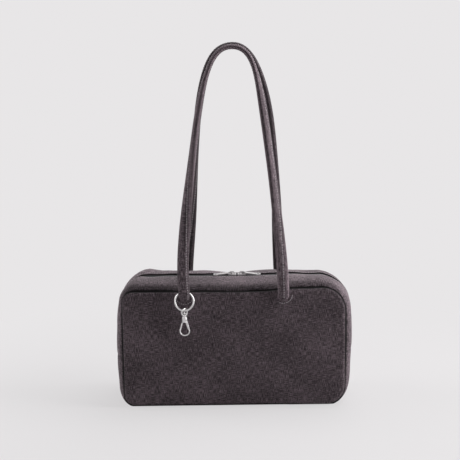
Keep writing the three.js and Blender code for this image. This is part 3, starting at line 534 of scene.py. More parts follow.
WASHED_BLACK = (1.12, 0.88, 0.99)  # a faintly purple grey
SILVER_TINT = (1.0, 0.98, 0.98)
BODY_DENIM = denim_material("body_denim", 0.02, 0.27, WASHED_BLACK)
HANDLE_DENIM = denim_material("handle_denim", 0.022, 0.255, WASHED_BLACK)
LINING_CLOTH = plain_weave_material(
    "lining_cotton", (0.022, 0.021, 0.024, 1.0), (0.055, 0.053, 0.06, 1.0), 0.45)
ZIP_TAPE = plain_weave_material(
    "zip_tape_weave", (0.006, 0.006, 0.007, 1.0), (0.02, 0.019, 0.021, 1.0), 0.5)
THREAD_COTTON = plain_weave_material(
    "thread_cotton", (0.24, 0.21, 0.225, 1.0), (0.5, 0.46, 0.48, 1.0), 0.35)
COIL_NYLON = grainy_material(
    "zip_coil_nylon", (0.006, 0.006, 0.007, 1.0), (0.022, 0.022, 0.024, 1.0), 900.0, 0.45)
BASE_SHEET = grainy_material(
    "base_sheet", (0.10, 0.085, 0.07, 1.0), (0.16, 0.14, 0.115, 1.0), 500.0, 0.75)
SILVER = metal_material("silver_plating", 0.75)
DULL_SILVER = metal_material("dull_plating", 0.55)


# Meshes


def new_object(name, data):
    made = bpy.data.objects.new(name, data)
    bpy.context.scene.collection.objects.link(made)
    return made


def add_piece(name, points, faces, material, cloth=None, wear_and_shade=None):
    """A closed mesh of points in millimetres, with places along the cloth, and wear and painted shade for its
    material.
    """
    points = np.asarray(points, float)
    mesh = bpy.data.meshes.new(name)
    mesh.from_pydata((points * MM).tolist(), [], faces)
    shell = bmesh.new()
    shell.from_mesh(mesh)
    bmesh.ops.recalc_face_normals(shell, faces=shell.faces)
    for face in shell.faces:
        face.smooth = len(face.verts) <= 4
        for edge in face.edges if not face.smooth else ():
            edge.smooth = False
    shell.to_mesh(mesh)
    shell.free()
    vectors = np.zeros((len(points), 3), np.float32)
    vectors[:, :2] = points[:, [0, 2]] if cloth is None else np.reshape(cloth, (-1, 2))
    mesh.attributes.new("cloth", "FLOAT_VECTOR", "POINT").data.foreach_set("vector", vectors.ravel())
    values = np.zeros(len(points), np.float32) if wear_and_shade is None else np.ravel(wear_and_shade).astype(np.float32)
    mesh.attributes.new("wear_and_shade", "FLOAT", "POINT").data.foreach_set("value", values)
    mesh.materials.append(material)
    return new_object(name, mesh)


def loft_faces(ring_count, sides, closed=False):
    """Faces through rings of equally many points, with a cap at each end unless the rings meet."""
    faces = []
    rings = np.arange(ring_count * sides).reshape(ring_count, sides).tolist()
    for ring, following in zip(rings, rings[1:] + rings[:1] if closed else rings[1:]):
        for side in range(sides):
            after = (side + 1) % sides
            faces.append((ring[side], ring[after], following[after], following[side]))
    if not closed:
        faces.append(tuple(reversed(rings[0])))
        faces.append(tuple(rings[-1]))
    return faces


def add_loft(name, rings, material, cloth=None, wear_and_shade=None):
    """A piece through open rings of points, with a cap at each end."""
    rings = np.asarray(rings)
    faces = loft_faces(*rings.shape[:2])
    return add_piece(name, rings.reshape(-1, 3), faces, material, cloth, wear_and_shade)


def unit(vectors):
    return vectors / np.linalg.norm(vectors, axis=-1, keepdims=True)


def points_at(x, y, z):
    return np.stack(np.broadcast_arrays(x, y, z), axis=-1)


def run_along(path):
    """How far along a path each of its points lies."""
    steps = np.linalg.norm(np.diff(path, axis=0), axis=1)
    return np.concatenate([[0.0], np.cumsum(steps)])


def frames_along(path, closed):
    """Two directions across a path at each of its points, turning as little as they can."""
    if closed:
        ahead = unit(np.roll(path, -1, axis=0) - np.roll(path, 1, axis=0))
    else:
        ahead = unit(np.gradient(path, axis=0))
    start = np.array([0.0, 0.0, 1.0]) if abs(ahead[0][2]) < 0.9 else np.array([0.0, 1.0, 0.0])
    first = np.cross(ahead[0], start)
    firsts = []
    for direction in ahead:
        first = unit(first - direction * np.dot(first, direction))
        firsts.append(first)
    firsts = np.array(firsts)
    return firsts, np.cross(ahead, firsts)


def tube(path, radius, sides, closed=False):
    """Points and faces of a round wire along a path. The radius may change from point to point."""
    path = np.asarray(path, float)
    radii = np.broadcast_to(np.asarray(radius, float), len(path))[:, None, None]
    firsts, seconds = frames_along(path, closed)
    angles = (np.arange(sides) * 2 * math.pi / sides)[None, :, None]
    rings = path[:, None] + radii * (np.cos(angles) * firsts[:, None] + np.sin(angles) * seconds[:, None])
    return rings.reshape(-1, 3), loft_faces(len(path), sides, closed)


def joined(parts):
    """Several lists of points and faces as one."""
    points, faces, count = [], [], 0
    for part_points, part_faces in parts:
        points.append(part_points)
        faces += [tuple(count + corner for corner in face) for face in part_faces]
        count += len(part_points)
    return np.concatenate(points), faces


STITCH_SHARES = np.linspace(0, 1, 5)
STITCH_SHAPE = np.array([0.45, 0.95, 1.0, 0.95, 0.45])
THREAD_SIDES = 6


def stitch_line(path, lift, length=STITCH, gap=STITCH_GAP):
    """Single stitches along a path. lift is each point's direction off the cloth."""
    path = np.asarray(path, float)
    lift = unit(np.asarray(lift, float))
    run = run_along(path)
    heights = THREAD * (STITCH_RISE * np.sin(math.pi * STITCH_SHARES) - STITCH_DIP)
    parts = []
    for start in np.arange(gap / 2, run[-1] - length, length + gap):
        stops = start + STITCH_SHARES * length
        line = np.stack([np.interp(stops, run, path[:, axis]) for axis in range(3)], axis=1)
        off = np.stack([np.interp(stops, run, lift[:, axis]) for axis in range(3)], axis=1)
        parts.append(tube(line + off * heights[:, None], THREAD * STITCH_SHAPE, THREAD_SIDES))
    return joined(parts)


def dress(piece, slot, *nodes):
    """Hides the solids that a piece stands for. The slot, what the piece is made of, is not used."""
    if nodes:
        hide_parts(*nodes)
    return piece


# The seam round a panel

TOP_STEPS = 30
SIDE_STEPS = 28
ARC_STEPS = 12


def wander(x, z):
    """How far the front panel's seam lies above or below a straight line."""
    climb = stepped(x, TOP_CLIMBS[0]) + stepped(x, TOP_CLIMBS[1])
    top = climb - TOP_DROOP - humped(x, TOP_DIP)
    base = BASE_DROOP + stepped(x, BASE_END_DROOP)
    in_base = 1 - smoothstep(z, SEAM_LOW, MIDDLE_HEIGHT)
    return top * smoothstep(z, MIDDLE_HEIGHT, SEAM_TOP) - base * in_base


def outline(inset, side):
    """A panel's outline moved inwards: x, z and the outward direction, clockwise from the top middle."""
    front = side < 0
    left = inset - HALF_WIDTH
    right = HALF_WIDTH - inset - (TAKEN_IN if front else 0.0)
    top = SEAM_TOP - inset
    low = SEAM_LOW + inset
    radii = np.maximum(np.array(FRONT_CORNERS if front else REAR_CORNERS) - inset, LEAST_RADIUS)
    signs = ((1, 1), (1, -1), (-1, -1), (-1, 1))
    arcs = []
    for number, ((sign_x, sign_z), radius) in enumerate(zip(signs, radii)):
        angles = math.pi / 2 * (1 - number - np.linspace(0, 1, ARC_STEPS + 1))
        out = np.stack([np.cos(angles), np.sin(angles)], axis=1)
        edge_x = right if sign_x > 0 else left
        edge_z = top if sign_z > 0 else low
        middle = (edge_x - sign_x * radius, edge_z - sign_z * radius)
        arcs.append(np.concatenate([middle + radius * out, out], axis=1))
    top_middle = np.array([[0.0, top, 0.0, 1.0]])
    steps = (TOP_STEPS, SIDE_STEPS, 2 * TOP_STEPS, SIDE_STEPS, TOP_STEPS)
    rows = []
    for before, after, count in zip([top_middle] + arcs, arcs + [top_middle], steps):
        shares = np.linspace(0, 1, count, endpoint=False)[:, None]
        straight = before[-1] + (after[0] - before[-1]) * shares
        rows += [straight if before is top_middle else straight[1:], after]
    rows = np.concatenate(rows)
    if front:
        rows[:, 1] += wander(rows[:, 0], rows[:, 1])
    return rows


FRONT_SEAM = outline(0.0, -1)
REAR_SEAM = outline(0.0, 1)
SEAM_RUN = run_along(FRONT_SEAM[:, :2])
SEAM_LENGTH = SEAM_RUN[-1]


def side_seam_at(half_width, radius):
    """How far along the seam the zip gusset is sewn to the bottom gusset."""
    return half_width - radius + radius * math.pi / 2 + SEAM_TOP - radius - SIDE_SEAM_HEIGHT


RIGHT_SEAM = side_seam_at(HALF_WIDTH - TAKEN_IN, FRONT_CORNERS[0])
LEFT_SEAM = side_seam_at(HALF_WIDTH, FRONT_CORNERS[3])


def seam_at(distances, ys):
    """The seam's x, z and outward direction, where the front panel's outline passes into the rear one's."""
    run = np.mod(distances, SEAM_LENGTH)
    rear_share = smoothstep(ys, -SEAM_Y, SEAM_Y)
    values = []
    for column in range(4):
        front = np.interp(run, SEAM_RUN, FRONT_SEAM[:, column])
        rear = np.interp(run, SEAM_RUN, REAR_SEAM[:, column])
        values.append(front + (rear - front) * rear_share)
    return values


def from_side_seam(distances):
    from_right = np.abs(distances - RIGHT_SEAM)
    from_left = np.abs(np.mod(distances, SEAM_LENGTH) - SEAM_LENGTH + LEFT_SEAM)
    return np.minimum(from_right, from_left)


def facing_up(distances, ys):
    return np.maximum(seam_at(distances, ys)[3], 0.0)


def hem_dip_at(ys, up):
    return up * fading(np.abs(ys), HEM_DIP)


def gusset_swell(x, z, aside, up, share):
    """How far the gusset stands out between its seams."""
    slack = np.where(x < 0, LEFT_SLACK, RIGHT_SLACK) * (2 * aside * up) ** 2
    rise = np.clip((z - SEAM_LOW) / (SEAM_TOP - SEAM_LOW), 0.0, 1.0)
    end = aside * np.where(x < 0, curve(LEFT_END, rise), curve(RIGHT_END, rise))
    return (BULGE * (1 - slack) + end) * (1 - share ** SWELL_SQUARENESS) ** SWELL_EASE


def top_sag(distances, x, ys, share):
    """How far the top sinks between the handles, to the right of them and beside their feet."""
    from_zip = np.abs(ys)
    between = np.where(ys > 0, REAR_SAG, FRONT_SAG) * hump(x, 0.0, SAG_LENGTH)
    at_right = RIGHT_SAG[0] + (RIGHT_SAG[1] - RIGHT_SAG[0]) * smoothstep(ys, *RIGHT_SAG_BACK)
    at_right = at_right * smoothstep(x, RIGHT_FOOT, RIGHT_FOOT + RIGHT_SAG_RUN) * (1 - share ** 2)
    by_foot = hump(x, LEFT_FOOT, DENT_WIDTH) + hump(x, RIGHT_FOOT, DENT_WIDTH)
    dent = by_foot * (DENT - ripple(distances, DENT_ACROSS * ys, DENT_RIPPLE, 2.2))
    dent = dent * smoothstep(from_zip, *DENT_FROM_ZIP)
    return between * smoothstep(from_zip, *SAG_FROM_ZIP) + at_right + dent


def gusset_points(distances, ys, depths):
    """Points of the gusset, at depths below its outer surface."""
    x, z, out_x, out_z = seam_at(distances, ys)
    up = np.maximum(out_z, 0.0)
    down = np.maximum(-out_z, 0.0)
    share = np.minimum(np.abs(ys) / SEAM_Y, 1.0)
    from_seam = SEAM_Y - np.abs(ys)
    flat = SEAM_LOW * smoothstep(from_seam, 0.0, BASE_DROP)
    groove = GROOVE * (1 - BASE_GROOVE_LOSS * down) * np.exp(-from_seam / GROOVE_WIDTH)
    wrinkle = ripple(distances, ys, WRINKLE, 1.3) * (1 - share ** 2)
    pucker = ripple(distances, 0.0, PUCKER, 4.1) * np.exp(-from_seam / PUCKER_WIDTH)
    side_dip = SIDE_SEAM_DIP * np.exp(-from_side_seam(distances) / SIDE_SEAM_WIDTH)
    lift = stepped(-x, LEFT_LIFT) * smoothstep(ys, *LEFT_LIFT_BACK)
    soft = up * (lift - top_sag(distances, x, ys, share)) - side_dip - hem_dip_at(ys, up)
    swell = gusset_swell(x, z, np.abs(out_x), up, share) + wrinkle + pucker
    out = (1 - down) * swell + down * flat - groove + soft - depths
    return points_at(x + out_x * out, ys, np.maximum(z + out_z * out, 0.0))


def gusset_shade(distances, ys):
    """Painted shade: dark creases at the seams, and shade on the top's slopes and in front of the zip."""
    from_seam = SEAM_Y - np.abs(ys)
    x = seam_at(distances, ys)[0]
    up = facing_up(distances, ys)
    crease_shade = fading(from_seam + TOP_SHADE_LOSS * up, SEAM_SHADE)
    side_shade = SIDE_SEAM_SHADE * np.exp(-from_side_seam(distances) / SIDE_SEAM_SHADE_WIDTH)
    left_of_foot = 1 - smoothstep(x - RIGHT_FOOT, *FRONT_SHADE_END)
    shade = humped(from_seam, SLOPE_SHADE) + stepped(-ys, FRONT_SHADE) * left_of_foot
    return -crease_shade - side_shade - up * shade


def add_strip(name, distances, ys, depths, material, shade=0.0):
    """Cloth along the gusset, cut to a width. ys and depths are its section, or one for each distance."""
    along = distances[:, None]
    shape = (len(distances), np.shape(ys)[-1])
    ys = np.broadcast_to(ys, shape)
    depths = np.broadcast_to(depths, shape)
    cloth = np.stack([np.broadcast_to(along, shape), ys + 2 * depths], axis=-1)
    wear_and_shade = gusset_shade(along, ys) + shade
    piece = add_loft(name, gusset_points(along, ys, depths), material, cloth, wear_and_shade)
    return piece


def closed_section(ys, depth, thickness):
    ys = np.asarray(ys, float)
    return np.concatenate([ys, ys[::-1]]), np.repeat([depth, depth + thickness], len(ys))


def spaced(first, last, step):
    return np.linspace(first, last, max(2, int(round(abs(last - first) / step)) + 1))


SEAM_MARKS = np.array([0.0, 0.6, 1.3, 2.2])
SEAM_STEP = 2.4
LEAST_STEP = 0.25
NEARLY = 0.001


def seam_spaced(first, last):
    """Distances along the seam, closer together near the side seams."""
    low, high = min(first, last), max(first, last)
    marks = [spaced(low, high, SEAM_STEP)]
    for seam in (RIGHT_SEAM, -LEFT_SEAM, SEAM_LENGTH - LEFT_SEAM):
        marks += [seam - SEAM_MARKS, seam + SEAM_MARKS]
    stops = np.unique(np.round(np.concatenate(marks), 3))
    stops = stops[(stops >= low - NEARLY) & (stops <= high + NEARLY)]
    return stops[np.concatenate([[True], np.diff(stops) > LEAST_STEP])]


FROM_SEAM = np.array([0.0, 0.4, 0.8, 1.3, 1.9, 2.6, 3.4, 4.5, 6.0, 8.0, 10.5, 13.5,
                      17.0, 20.5, 24.0, 27.5, 30.5])
BASE_MIDDLE = np.array([11.0, 7.0, 3.0])


def add_bottom_gusset():
    half = np.concatenate([SEAM_Y - FROM_SEAM, BASE_MIDDLE])
    ys, depths = closed_section(np.concatenate([-half, half[::-1]]), 0.0, DENIM)
    distances = seam_spaced(RIGHT_SEAM + SEAM_GAP, SEAM_LENGTH - LEFT_SEAM - SEAM_GAP)
    piece = add_strip("bottom_gusset_shell", distances, ys, depths, BODY_DENIM)
    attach(dress(piece, "denim", "bottom_gusset"), "bag")


# Panels

ROLL_ANGLES = np.radians([12, 24, 36, 48, 60, 72, 82, 90, 100, 112, 130])
FACE_RINGS = 34


def panel_rings():
    """How far in from the seam each ring of a panel lies, and how far behind its face."""
    flat = np.linspace(HALF_HEIGHT - PANEL_CENTRE, PANEL_INSET + PANEL_ROLL, FACE_RINGS)
    roll = PANEL_INSET + PANEL_ROLL * (1 - np.sin(ROLL_ANGLES))
    drop = PANEL_ROLL_DEPTH * (1 - np.cos(ROLL_ANGLES))
    insets = np.concatenate([flat, roll, [roll[-1] + PANEL_BACK]])
    return insets, np.concatenate([0 * flat, drop, [drop[-1]]])


def panel_unevenness(x, z, inset, seed):
    edge = math.exp(-max(inset - PANEL_ROLL, 0.0) / ROLL_RIPPLE_FADE)
    return ripple(x, z, FACE_RIPPLE, seed) * (1 - edge) + ripple(x, z, ROLL_RIPPLE, seed + 2) * edge


# A panel is rubbed along a line beside its crest, and painted shade darkens its crest and its whole face
def panel_tone(from_crest):
    return humped(from_crest, ROLL_WEAR) - fading(from_crest, CREST_SHADE) - PANEL_SHADE


def add_panels():
    """A sewn panel: a nearly flat face whose edge rolls back into its seam, closed behind."""
    insets, drops = panel_rings()
    crest = int(np.argmin(insets))
    for (name, side), seed in zip(SIDES, (0.4, 2.9)):
        rings = []
        wear_and_shade = []
        for number, (inset, drop) in enumerate(zip(insets, drops)):
            x, z = outline(inset, side)[:-1, :2].T
            depth = drop + panel_unevenness(x, z, inset, seed) * (number < crest)
            rings.append(points_at(x, side * (FACE - depth), z))
            from_crest = inset - PANEL_INSET if number < crest else 0.0
            wear_and_shade.append(np.full(len(x), panel_tone(from_crest)))
        panel = add_loft(f"{name}_padded_panel", rings, BODY_DENIM, None, wear_and_shade)
        dress(panel, "denim", f"{name}_panel", f"{name}_foam", f"{name}_left_patch", f"{name}_right_patch")
        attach(panel, "bag")


# The zip gusset, in quarters between the bag and the flap which opens


def quarters():
    """Front and rear, left and right: names, signs and the distances along the seam."""
    for front, side in SIDES:
        for hand, sign, end in (("left", -1, -LEFT_SEAM), ("right", 1, RIGHT_SEAM)):
            yield front, side, hand, sign, seam_spaced(ZIP_MIDDLE, end - sign * SEAM_GAP)


def bend_open(piece, front, sign):
    """Bakes the piece's placement into its mesh."""
    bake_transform(piece)


def slot_at(distances):
    """Half of the gap between the folded edges, which narrows where the zip turns the corners."""
    ease = smoothstep(np.abs(distances - ZIP_MIDDLE) / FLAP_HALF_LENGTH, *SLOT_EASE)
    return ZIP_SLOT + (ZIP_END_SLOT - ZIP_SLOT) * ease


def spread_at(distances):
    """How far the rows of teeth part round the sliders."""
    return fading(np.abs(distances - ZIP_MIDDLE), ROW_SPREAD)


def add_zip_gusset():
    outer = SEAM_Y - FROM_SEAM
    depths = np.concatenate([0 * outer, HEM_DEPTHS, 0 * outer + DENIM])
    for front, side, hand, sign, distances in quarters():
        slots = slot_at(distances)[:, None]
        seams = np.tile(outer, (len(distances), 1))
        ys = np.concatenate([seams, slots + HEM_OFFSETS, seams[:, ::-1]], axis=1)
        # wear on the front folded edge, painted shade on the rear one and in the slit
        shown = np.where(depths < FOLD_TOP, FRONT_FOLD if side < 0 else REAR_FOLD_SHADE, SLIT_SHADE)
        shade = shown * hump(ys, slots, FOLD_WIDTH)
        name = f"{front}_{hand}_zip_gusset"
        piece = add_strip(name, distances, side * ys, depths, BODY_DENIM, shade)
        dress(piece, "denim", f"{front}_zip_flap", f"{front}_{hand}_gusset_end")
        bend_open(piece, front, sign)


def add_zip_stitches():
    for front, side, hand, sign, distances in quarters():
        ys = side * (slot_at(distances) + ZIP_STITCH_FROM_EDGE)
        _, _, out_x, out_z = seam_at(distances, ys)
        lift = points_at(out_x, 0.0, out_z)
        stitches = stitch_line(gusset_points(distances, ys, SUNK), lift)
        piece = add_piece(f"{front}_{hand}_zip_stitches", *stitches, THREAD_COTTON)
        bend_open(dress(piece, "handle_denim"), front, sign)


TAPE_OUTER = np.array([TAPE_HALF, 9.0, 6.0, 3.6])
TAPE_EDGE = 0.6


def add_zip_tapes():
    for front, side, hand, sign, distances in quarters():
        inner = TAPE_INNER + spread_at(distances)[:, None]
        top = np.concatenate([np.tile(TAPE_OUTER, (len(distances), 1)), inner + TAPE_EDGE, inner], axis=1)
        ys = side * np.concatenate([top, top[:, ::-1]], axis=1)
        layers = np.repeat([TAPE_DEPTH, TAPE_DEPTH + TAPE_THICKNESS], top.shape[1])
        depths = layers - hem_dip_at(ys, facing_up(distances[:, None], ys))
        name = f"{front}_{hand}_zip_tape"
        piece = add_strip(name, distances, ys, depths, ZIP_TAPE)
        dress(piece, "zip_tape", f"{front}_zip_tape", f"{hand}_zip_end")
        bend_open(piece, front, sign)


COIL_STEPS = 9
COIL_SIDES = 5


def add_zip_coils():
    """Each row is one monofilament wound into loops, half a step behind the row it meshes with."""
    for front, side, hand, sign, distances in quarters():
        length = abs(distances[-1] - distances[0]) - 2 * COIL_END
        turns = np.arange(int(length / COIL_PITCH) * COIL_STEPS) / COIL_STEPS
        along = ZIP_MIDDLE + sign * (COIL_END + COIL_PITCH * turns)
        angles = 2 * math.pi * (turns + (0.25 if side > 0 else 0.75))
        ys = side * (COIL_WIDTH / 2 * (1 - np.cos(angles)) + COIL_INNER + spread_at(along))
        depths = COIL_DEPTH - COIL_HEIGHT / 2 * np.sin(angles) - hem_dip_at(ys, facing_up(along, ys))
        coil = tube(gusset_points(along, ys, depths), COIL_WIRE / 2, COIL_SIDES)
        piece = add_piece(f"{front}_{hand}_zip_coil", *coil, COIL_NYLON)
        dress(piece, "zip_coil", f"{front}_zip_teeth")
        bend_open(piece, front, sign)


def plate(data, material):
    data.materials.clear()
    data.materials.append(material)


def add_pulls():
    """The pulls lie askew, each leaning on the outer leg of its bail."""
    for hand, sign in (("left", -1), ("right", 1)):
        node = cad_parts[f"{hand}_slider_pull"]
        low, high = box_of(f"{hand}_slider_pull")
        pivot = high[0] - PULL_BAR if sign < 0 else low[0] + PULL_BAR
        lean = Vector((pivot + sign * BAIL_LEG, 0.0, (low[2] + high[2]) / 2)) * MM
        turned = Matrix.Rotation(-sign * PULL_PLAY, 4, "Z") @ Matrix.Rotation(sign * PULL_DROOP, 4, "Y")
        turned = turned @ Matrix.Rotation(PULL_ROLL, 4, "X")
        mesh = node.data.copy()
        mesh.transform(Matrix.Translation(lean) @ turned @ Matrix.Translation(-lean))
        plate(mesh, DULL_SILVER)
        piece = new_object(f"{hand}_zip_pull", mesh)
        soften_edges(piece)
        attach(dress(piece, "silver_metal", f"{hand}_slider_pull"), f"{hand}_pull")


# Lining

LINING_RINGS = 16
LINING_COLUMNS = 17
LINING_STEP = 4.2


def add_linings():
    insets = np.linspace(HALF_HEIGHT - PANEL_CENTRE, LINING_INSET, LINING_RINGS)
    layers = [(inset, 0.0) for inset in insets] + [(inset, LINING) for inset in insets[::-1]]
    for (name, side), seed in zip(SIDES, (5.2, 7.7)):
        rings = []
        for inset, layer in layers:
            x, z = outline(inset, side)[:-1, :2].T
            slack = ripple(x, z, LINING_RIPPLE, seed)
            rings.append(points_at(x, side * (LINING_FACE + slack - layer), z))
        piece = add_loft(f"{name}_lining_sheet", rings, LINING_CLOTH)
        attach(dress(piece, "lining", f"{name}_lining"), "bag")


def add_bottom_lining():
    across = np.linspace(-LINING_EDGE, LINING_EDGE, LINING_COLUMNS)
    ys, depths = closed_section(across, DENIM + UNDER_BASE, LINING)
    distances = seam_spaced(RIGHT_SEAM - LINING_OVERRUN, SEAM_LENGTH - LEFT_SEAM + LINING_OVERRUN)
    piece = add_strip("bottom_lining_sheet", distances, ys, depths, LINING_CLOTH)
    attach(dress(piece, "lining", "bottom_lining"), "bag")


def add_zip_linings():
    inner = TAPE_HALF - TAPE_OVERLAP
    depth = TAPE_DEPTH + TAPE_THICKNESS + UNDER_TAPE
    for front, side, hand, sign, distances in quarters():
        ys, depths = closed_section(side * spaced(LINING_EDGE, inner, LINING_STEP), depth, LINING)
        name = f"{front}_{hand}_zip_lining"
        piece = add_strip(name, distances, ys, depths, LINING_CLOTH)
        dress(piece, "lining", f"{front}_flap_lining", f"{front}_{hand}_end_lining")
        bend_open(piece, front, sign)


POCKET_STEP = 4.0


def add_pocket():
    """A patch pocket with a hemmed mouth, sewn to the rear lining on three sides."""
    low, high = box_of("slip_pocket")
    mouth = high[2]
    across = spaced(low[0], high[0], POCKET_STEP)[None, :]
    up = np.concatenate([spaced(low[2], mouth, POCKET_STEP)[:-1], [mouth - POCKET_EDGE, mouth]])[:, None]
    slack = POCKET_SLACK * smoothstep(up, mouth - POCKET_MOUTH, mouth)
    slack = slack * np.sin(math.pi * (across - low[0]) / (high[0] - low[0]))
    uneven = ripple(across, up, POCKET_RIPPLE, 9.1)
    y = high[1] - LINING - POCKET_GAP - np.maximum(slack + uneven, 0.0)
    hem = np.where(up > mouth - POCKET_HEM, POCKET_HEM_STEP, 0.0)
    shown = points_at(across, y - hem, up)
    hidden = points_at(across, y + POCKET_THICKNESS, up)
    rings = np.concatenate([shown, hidden[:, ::-1]], axis=1)
    piece = add_loft("slip_pocket_cloth", rings, LINING_CLOTH)
    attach(dress(piece, "lining", "slip_pocket"), "bag")


# Handles

FOOT_STEPS = np.array([0.06, 0.35, 0.9, 1.8, 3.0, 4.6, 7.0, 9.0, 11.0, 12.6, 14.2])
LEG_STEPS = 44
SECTION_SIDES = 32


def foot_line(side, x):
    """The flattened end of a handle: places, half widths, half thicknesses and turns."""
    below = np.maximum(HANDLE_WIDTH / 2 - FOOT_STEPS, 0.0)
    half_widths = np.sqrt((HANDLE_WIDTH / 2) ** 2 - below ** 2)
    plump = np.sqrt(1 - np.maximum(1 - FOOT_STEPS / FOOT_ROUNDING, 0.0) ** 2)
    taper = FOOT_STEPS / (FOOT_TOP - FOOT_LOW)
    thickness = FOOT_END_THICKNESS + (HANDLE_THICKNESS - FOOT_END_THICKNESS) * taper
    halves = thickness * np.maximum(plump, LEAST_PLUMPNESS) / 2
    places = points_at(x, side * (FACE + FOOT_GAP + halves), FOOT_LOW + FOOT_STEPS)
    return places, half_widths, halves, 0 * taper


def leg_line(side, across, twist):
    """A leg from the top of its foot to the middle of the arch, described in the same way."""
    shares = np.linspace(0, 1, LEG_STEPS)
    top = ARCH_TOP + side * ARCH_STAGGER
    heights = curve((FOOT_TOP, FOOT_TOP + LEG_STRAIGHT * (top - FOOT_TOP), top, top), shares)
    depth = curve((FOOT_MIDDLE_Y, LEG_LEAN * FOOT_MIDDLE_Y, ARCH_Y, ARCH_Y), shares)
    places = points_at(curve(across, shares), side * depth, heights)
    first, last, done = twist
    turned = done * smoothstep(shares, first, last) + (1 - done) * smoothstep(shares, *LAST_TURN)
    thinned = HANDLE_THICKNESS * (1 - ARCH_THINNING * smoothstep(shares, *THINNING_SHARES))
    return places, np.full(LEG_STEPS, HANDLE_WIDTH / 2), thinned / 2, math.pi / 2 * turned


def half_handle(side, across, twist, lift):
    """A foot and its leg. The ring's wire lifts the handle off the panel."""
    foot_and_leg = zip(foot_line(side, across[0]), leg_line(side, across, twist))
    places, half_widths, halves, turns = [np.concatenate(pair) for pair in foot_and_leg]
    places[:, 1] += side * lift * hump(places[:, 2], RING_TOP, RING_LIFT_WIDTH)
    return places, half_widths, halves, turns


def handle_stations(side, legs, twists, lifts):
    """A whole handle from its left foot to its right foot, with its wide and thin directions."""
    left, right = [half_handle(side, *leg) for leg in zip(legs, twists, lifts)]
    places, half_widths, halves, turns = [np.concatenate([a, b[::-1][1:]]) for a, b in zip(left, right)]
    ahead = unit(np.gradient(places, axis=0))
    ahead[:len(FOOT_STEPS)] = (0.0, 0.0, 1.0)
    ahead[-len(FOOT_STEPS):] = (0.0, 0.0, -1.0)
    facing = np.array([0.0, side, 0.0])
    flat = unit(facing - ahead * (ahead @ facing)[:, None])
    outward = side * np.cross(ahead, flat)
    thin = flat * np.cos(turns)[:, None] + outward * np.sin(turns)[:, None]
    return places, half_widths, halves, thin, np.cross(ahead, thin)


def handle_height(across):
    """How thick an oval handle is, at places across its width from -1 to 1."""
    return (1 - np.abs(across) ** OVAL_SQUARENESS) ** OVAL_EASE


SECTION_ANGLES = np.arange(SECTION_SIDES) * 2 * math.pi / SECTION_SIDES
SECTION_ACROSS = np.sign(np.cos(SECTION_ANGLES)) * np.abs(np.cos(SECTION_ANGLES)) ** OVAL_SPACING
SECTION_OVER = np.sign(np.sin(SECTION_ANGLES)) * handle_height(SECTION_ACROSS)


def handle_wear_and_shade(places, seam, rubbing):
    """Rubbed lines on the rims, painted shade on the rims low on the left leg, and a painted dark crease
    beside the seam.
    """
    rubbed = humped(np.abs(SECTION_OVER), RIM_LINES) - humped(SECTION_OVER, RIM_MIDDLE)
    high = smoothstep(places[:, 2], RUBBED_FROM, RUBBED_FULL)
    high = np.where(places[:, 0] > 0, 1.0, high)[:, None]
    on_rim = smoothstep(np.abs(SECTION_ACROSS), *RIM)
    crease_shade = HANDLE_CREASE_SHADE * hump(SECTION_ACROSS, seam - CREASE_OFFSET * np.sign(seam), CREASE_WIDTH)
    return rubbing * (high * rubbed - (1 - high) * RIM_SHADE) * on_rim - crease_shade


def add_strap(name, stations, seam, wear_and_shade):
    """The sewn cover of a handle, with a valley along its seam."""
    places, half_widths, halves, thin, wide = stations
    valley = 1 - SEAM_VALLEY * hump(SECTION_ACROSS, seam, VALLEY_WIDTH)
    reach = (wide * half_widths[:, None])[:, None] * SECTION_ACROSS[:, None]
    height = (thin * halves[:, None])[:, None] * (SECTION_OVER * valley)[:, :, None]
    rings = places[:, None] + reach + height
    round_it = np.arange(SECTION_SIDES) * (2 * HANDLE_WIDTH + HANDLE_THICKNESS) / SECTION_SIDES
    cloth = np.stack(np.broadcast_arrays(round_it, run_along(places)[:, None]), axis=-1)
    piece = add_loft(f"{name}_handle_strap", rings, HANDLE_DENIM, cloth, wear_and_shade)
    feet = (f"{name}_left_handle_foot", f"{name}_right_handle_foot")
    return dress(piece, "handle_denim", f"{name}_handle_cover", f"{name}_handle_core", *feet)


def add_strap_stitches(name, stations, seam):
    """Stitches along the seam, on the outer face from foot to foot and on the inner face above the feet."""
    places, half_widths, halves, thin, wide = stations
    on_top = handle_height(seam) * (1 - STITCH_SINK) * halves[:, None]
    parts = []
    for face in (1, -1):
        shown = half_widths > FULL_WIDTH * HANDLE_WIDTH / 2
        shown &= (face > 0) | (places[:, 2] > FOOT_TOP + INNER_STITCH_RISE)
        line = places + wide * half_widths[:, None] * seam + thin * face * on_top
        parts.append(stitch_line(line[shown], (face * thin)[shown]))
    return dress(add_piece(f"{name}_handle_stitches", *joined(parts), THREAD_COTTON), "handle_denim")


def add_handles():
    handles = (("front", -1, FRONT_LEGS, FRONT_TWISTS, FRONT_STITCH, (RING_LIFT, 0.0), 0.0, 1.0),
               ("rear", 1, REAR_LEGS, REAR_TWISTS, REAR_STITCH, (0.0, 0.0), REAR_HANDLE_SHADE, REAR_RUBBING))
    for name, side, legs, twists, stitch, lifts, handle_shade, rubbing in handles:
        stations = handle_stations(side, legs, twists, lifts)
        seam = np.linspace(stitch[0], stitch[1], len(stations[0]))[:, None]
        # painted shade darkens the rear handle
        wear_and_shade = handle_wear_and_shade(stations[0], seam, rubbing) - handle_shade
        bend_handle(add_strap(name, stations, seam, wear_and_shade), name, side)
        bend_handle(add_strap_stitches(name, stations, seam), name, side)


def bend_handle(piece, name, side):
    """Bakes the piece's placement into its mesh."""
    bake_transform(piece)


FOOT_RISE_STEP = 1.0
FOOT_ARC_STEPS = 30


